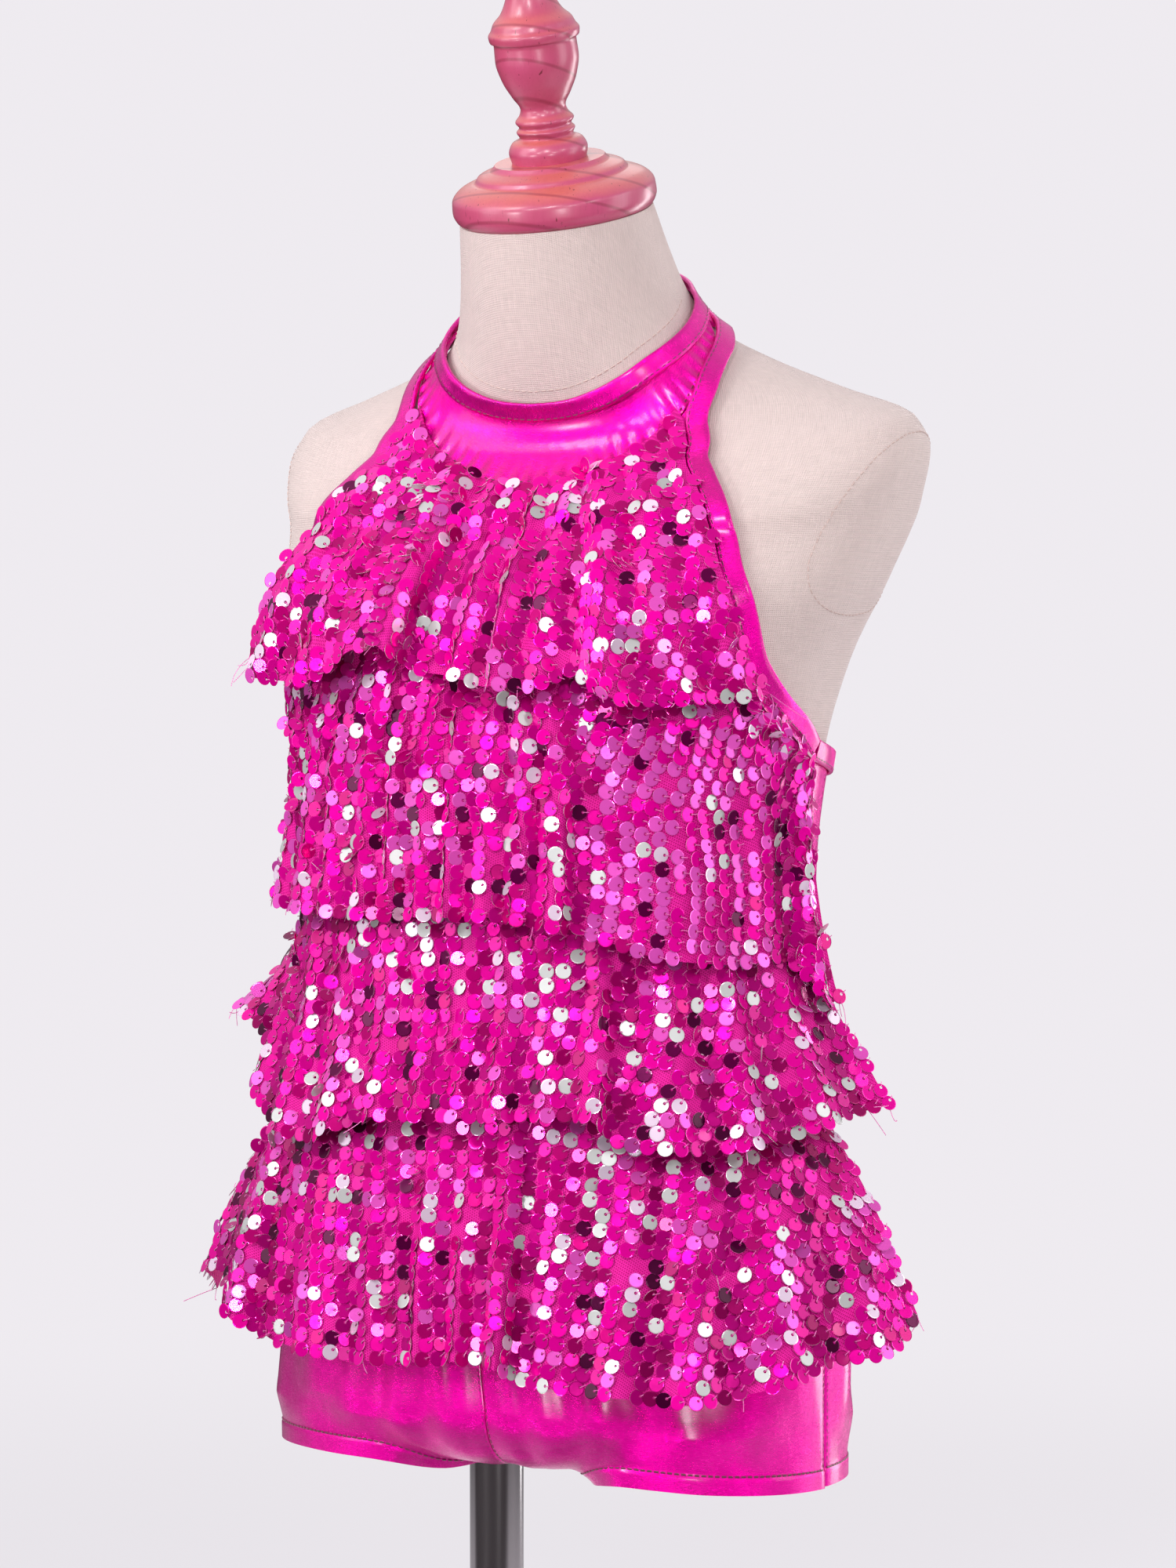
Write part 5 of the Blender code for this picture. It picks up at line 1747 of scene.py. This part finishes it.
def build_floor(scene, colour):
    """Wide round floor of studio paper."""
    turn = np.arange(FLOOR_SIDES) * 2 * np.pi / FLOOR_SIDES
    rings = [[(0.0, 0.0, 0.0)]]
    for reach in FLOOR_RINGS:
        rings.append(np.column_stack([np.cos(turn) * reach, np.sin(turn) * reach, np.zeros(FLOOR_SIDES)]))
    around = [(k, (k + 1) % FLOOR_SIDES) for k in range(FLOOR_SIDES)]
    faces = [(0, 1 + k, 1 + after) for k, after in around]
    for ring in range(len(FLOOR_RINGS) - 1):
        low = 1 + ring * FLOOR_SIDES
        high = low + FLOOR_SIDES
        faces += [(low + k, high + k, high + after, low + after) for k, after in around]
    mesh = bpy.data.meshes.new("studio_floor")
    mesh.from_pydata(np.concatenate(rings).tolist(), [], faces)
    mesh.materials.append(studio_paper(colour))
    floor = bpy.data.objects.new("studio_floor", mesh)
    scene.collection.objects.link(floor)


def build_sky(scene, soft):
    """Soft light from above and behind, darker on the photograph's side, and a plain backdrop."""
    world = bpy.data.worlds.new("studio")
    scene.world = world
    world.use_nodes = True
    tree = world.node_tree
    way = axes_of(tree, add_node(tree, "ShaderNodeTexCoord").outputs["Generated"])
    climb = remap(tree, way["Z"], *SKY_CLIMB)
    sideways, forwards = (calculate(tree, "MULTIPLY", way[axis], share) for axis, share in SKY_FRONT)
    behind = remap(tree, calculate(tree, "ADD", sideways, forwards), 0.8, -0.4, 0.1, 1.2)
    dark, bright = ((*(c * soft for c in colour), 1.0) for colour in (SKY_LOW, SKY_HIGH))
    sky = mix_colour(tree, calculate(tree, "MULTIPLY", climb, behind), dark, bright)
    seen = add_node(tree, "ShaderNodeLightPath").outputs["Is Camera Ray"]
    tree.links.new(mix_colour(tree, seen, sky, BACKDROP), tree.nodes["Background"].inputs["Color"])


def build_lights(scene, key):
    """Soft lamps round the stand, aimed at its middle."""
    for number, (turn, height, distance, width, tall, share) in enumerate(LIGHTS):
        data = bpy.data.lights.new(f"light_{number}", "AREA")
        data.shape = "RECTANGLE"
        data.size = width
        data.size_y = tall
        data.energy = key * share
        light = bpy.data.objects.new(f"light_{number}", data)
        way = math.radians(CAMERA_TURN + turn)
        light.location = (distance * math.sin(way), -distance * math.cos(way), height)
        aim = Vector(LIGHT_AIM) - light.location
        light.rotation_euler = aim.to_track_quat("-Z", "Y").to_euler()
        light.visible_camera = False
        scene.collection.objects.link(light)


def build_stage(stage):
    """Camera, floor, sky and lamps."""
    scene = bpy.context.scene
    build_camera(scene)
    build_floor(scene, stage.paper)
    build_sky(scene, stage.soft)
    build_lights(scene, stage.key)


# The add-on


class LEOTARD_OT_form(bpy.types.Operator):
    """Build the linen dress form and its seams"""

    bl_idname = "leotard.form"
    bl_label = "Linen form"

    def execute(self, context):
        build_linen_form(context.scene.leotard_form)
        return {"FINISHED"}


class LEOTARD_OT_wood(bpy.types.Operator):
    """Build the turned wooden cap and finial"""

    bl_idname = "leotard.wood"
    bl_label = "Cap and finial"

    def execute(self, context):
        build_wood(context.scene.leotard_form)
        return {"FINISHED"}


class LEOTARD_OT_stand(bpy.types.Operator):
    """Build the chrome pole and base"""

    bl_idname = "leotard.stand"
    bl_label = "Pole and base"

    def execute(self, context):
        build_stand(context.scene.leotard_form)
        return {"FINISHED"}


class LEOTARD_OT_panels(bpy.types.Operator):
    """Build the yoke and the two bodice panels"""

    bl_idname = "leotard.panels"
    bl_label = "Yoke and bodice"

    def execute(self, context):
        build_panels(context.scene.leotard_cloth)
        return {"FINISHED"}


class LEOTARD_OT_bindings(bpy.types.Operator):
    """Build the neck, armhole and back bindings with their stitches"""

    bl_idname = "leotard.bindings"
    bl_label = "Bindings"

    def execute(self, context):
        build_bindings(context.scene.leotard_cloth)
        return {"FINISHED"}


class LEOTARD_OT_shorts(bpy.types.Operator):
    """Build the four pieces of the shorts with their hem stitches"""

    bl_idname = "leotard.shorts"
    bl_label = "Shorts"

    def execute(self, context):
        build_shorts(context.scene.leotard_cloth)
        return {"FINISHED"}


class LEOTARD_OT_nape(bpy.types.Operator):
    """Build the nape tab and its snap"""

    bl_idname = "leotard.nape"
    bl_label = "Nape closure"

    def execute(self, context):
        build_nape(context.scene.leotard_cloth)
        return {"FINISHED"}


class LEOTARD_OT_tiers(bpy.types.Operator):
    """Build the gathered net of the four ruffle tiers"""

    bl_idname = "leotard.tiers"
    bl_label = "Ruffle tiers"

    def execute(self, context):
        build_tiers(context.scene.leotard_cloth)
        return {"FINISHED"}


class LEOTARD_OT_sequins(bpy.types.Operator):
    """Sew the sequins onto the tiers"""

    bl_idname = "leotard.sequins"
    bl_label = "Sequins"

    def execute(self, context):
        build_sequins(context.scene.leotard_sequins)
        return {"FINISHED"}


class LEOTARD_OT_thread_ends(bpy.types.Operator):
    """Leave the loose thread ends at the tiers' corners"""

    bl_idname = "leotard.thread_ends"
    bl_label = "Thread ends"

    def execute(self, context):
        build_thread_ends()
        return {"FINISHED"}


class LEOTARD_OT_stage(bpy.types.Operator):
    """Set up the floor, backdrop, lights and camera"""

    bl_idname = "leotard.stage"
    bl_label = "Stage"

    def execute(self, context):
        build_stage(context.scene.leotard_stage)
        return {"FINISHED"}


PARTS = (
    LEOTARD_OT_form, LEOTARD_OT_wood, LEOTARD_OT_stand, LEOTARD_OT_panels, LEOTARD_OT_bindings,
    LEOTARD_OT_shorts, LEOTARD_OT_nape, LEOTARD_OT_tiers, LEOTARD_OT_sequins, LEOTARD_OT_thread_ends,
    LEOTARD_OT_stage,
)


class LEOTARD_PT_panel(bpy.types.Panel):
    """Buttons for each group of pieces and their settings"""

    bl_label = "Leotard"
    bl_idname = "LEOTARD_PT_panel"
    bl_space_type = "VIEW_3D"
    bl_region_type = "UI"
    bl_category = "Leotard"

    def draw(self, context):
        """List a button for each group of pieces, then the settings."""
        for part in PARTS:
            self.layout.operator(part.bl_idname)
        for name in SETTINGS:
            group = getattr(context.scene, name)
            box = self.layout.box()
            for prop in group.__annotations__:
                box.prop(group, prop)


SETTINGS = {
    "leotard_cloth": LeotardCloth,
    "leotard_sequins": LeotardSequins,
    "leotard_form": LeotardForm,
    "leotard_stage": LeotardStage,
}
CLASSES = (*SETTINGS.values(), *PARTS, LEOTARD_PT_panel)


def register():
    """Add the classes, and the settings to the scene."""
    for cls in CLASSES:
        bpy.utils.register_class(cls)
    for name, group in SETTINGS.items():
        setattr(bpy.types.Scene, name, PointerProperty(type=group))


def unregister():
    """Take the settings and the classes away again."""
    for name in SETTINGS:
        delattr(bpy.types.Scene, name)
    for cls in reversed(CLASSES):
        bpy.utils.unregister_class(cls)


def main():
    """Build every piece and the stage."""
    register()
    for part in PARTS:
        space, name = part.bl_idname.split(".")
        getattr(getattr(bpy.ops, space), name)()


if __name__ == "__main__":
    main()
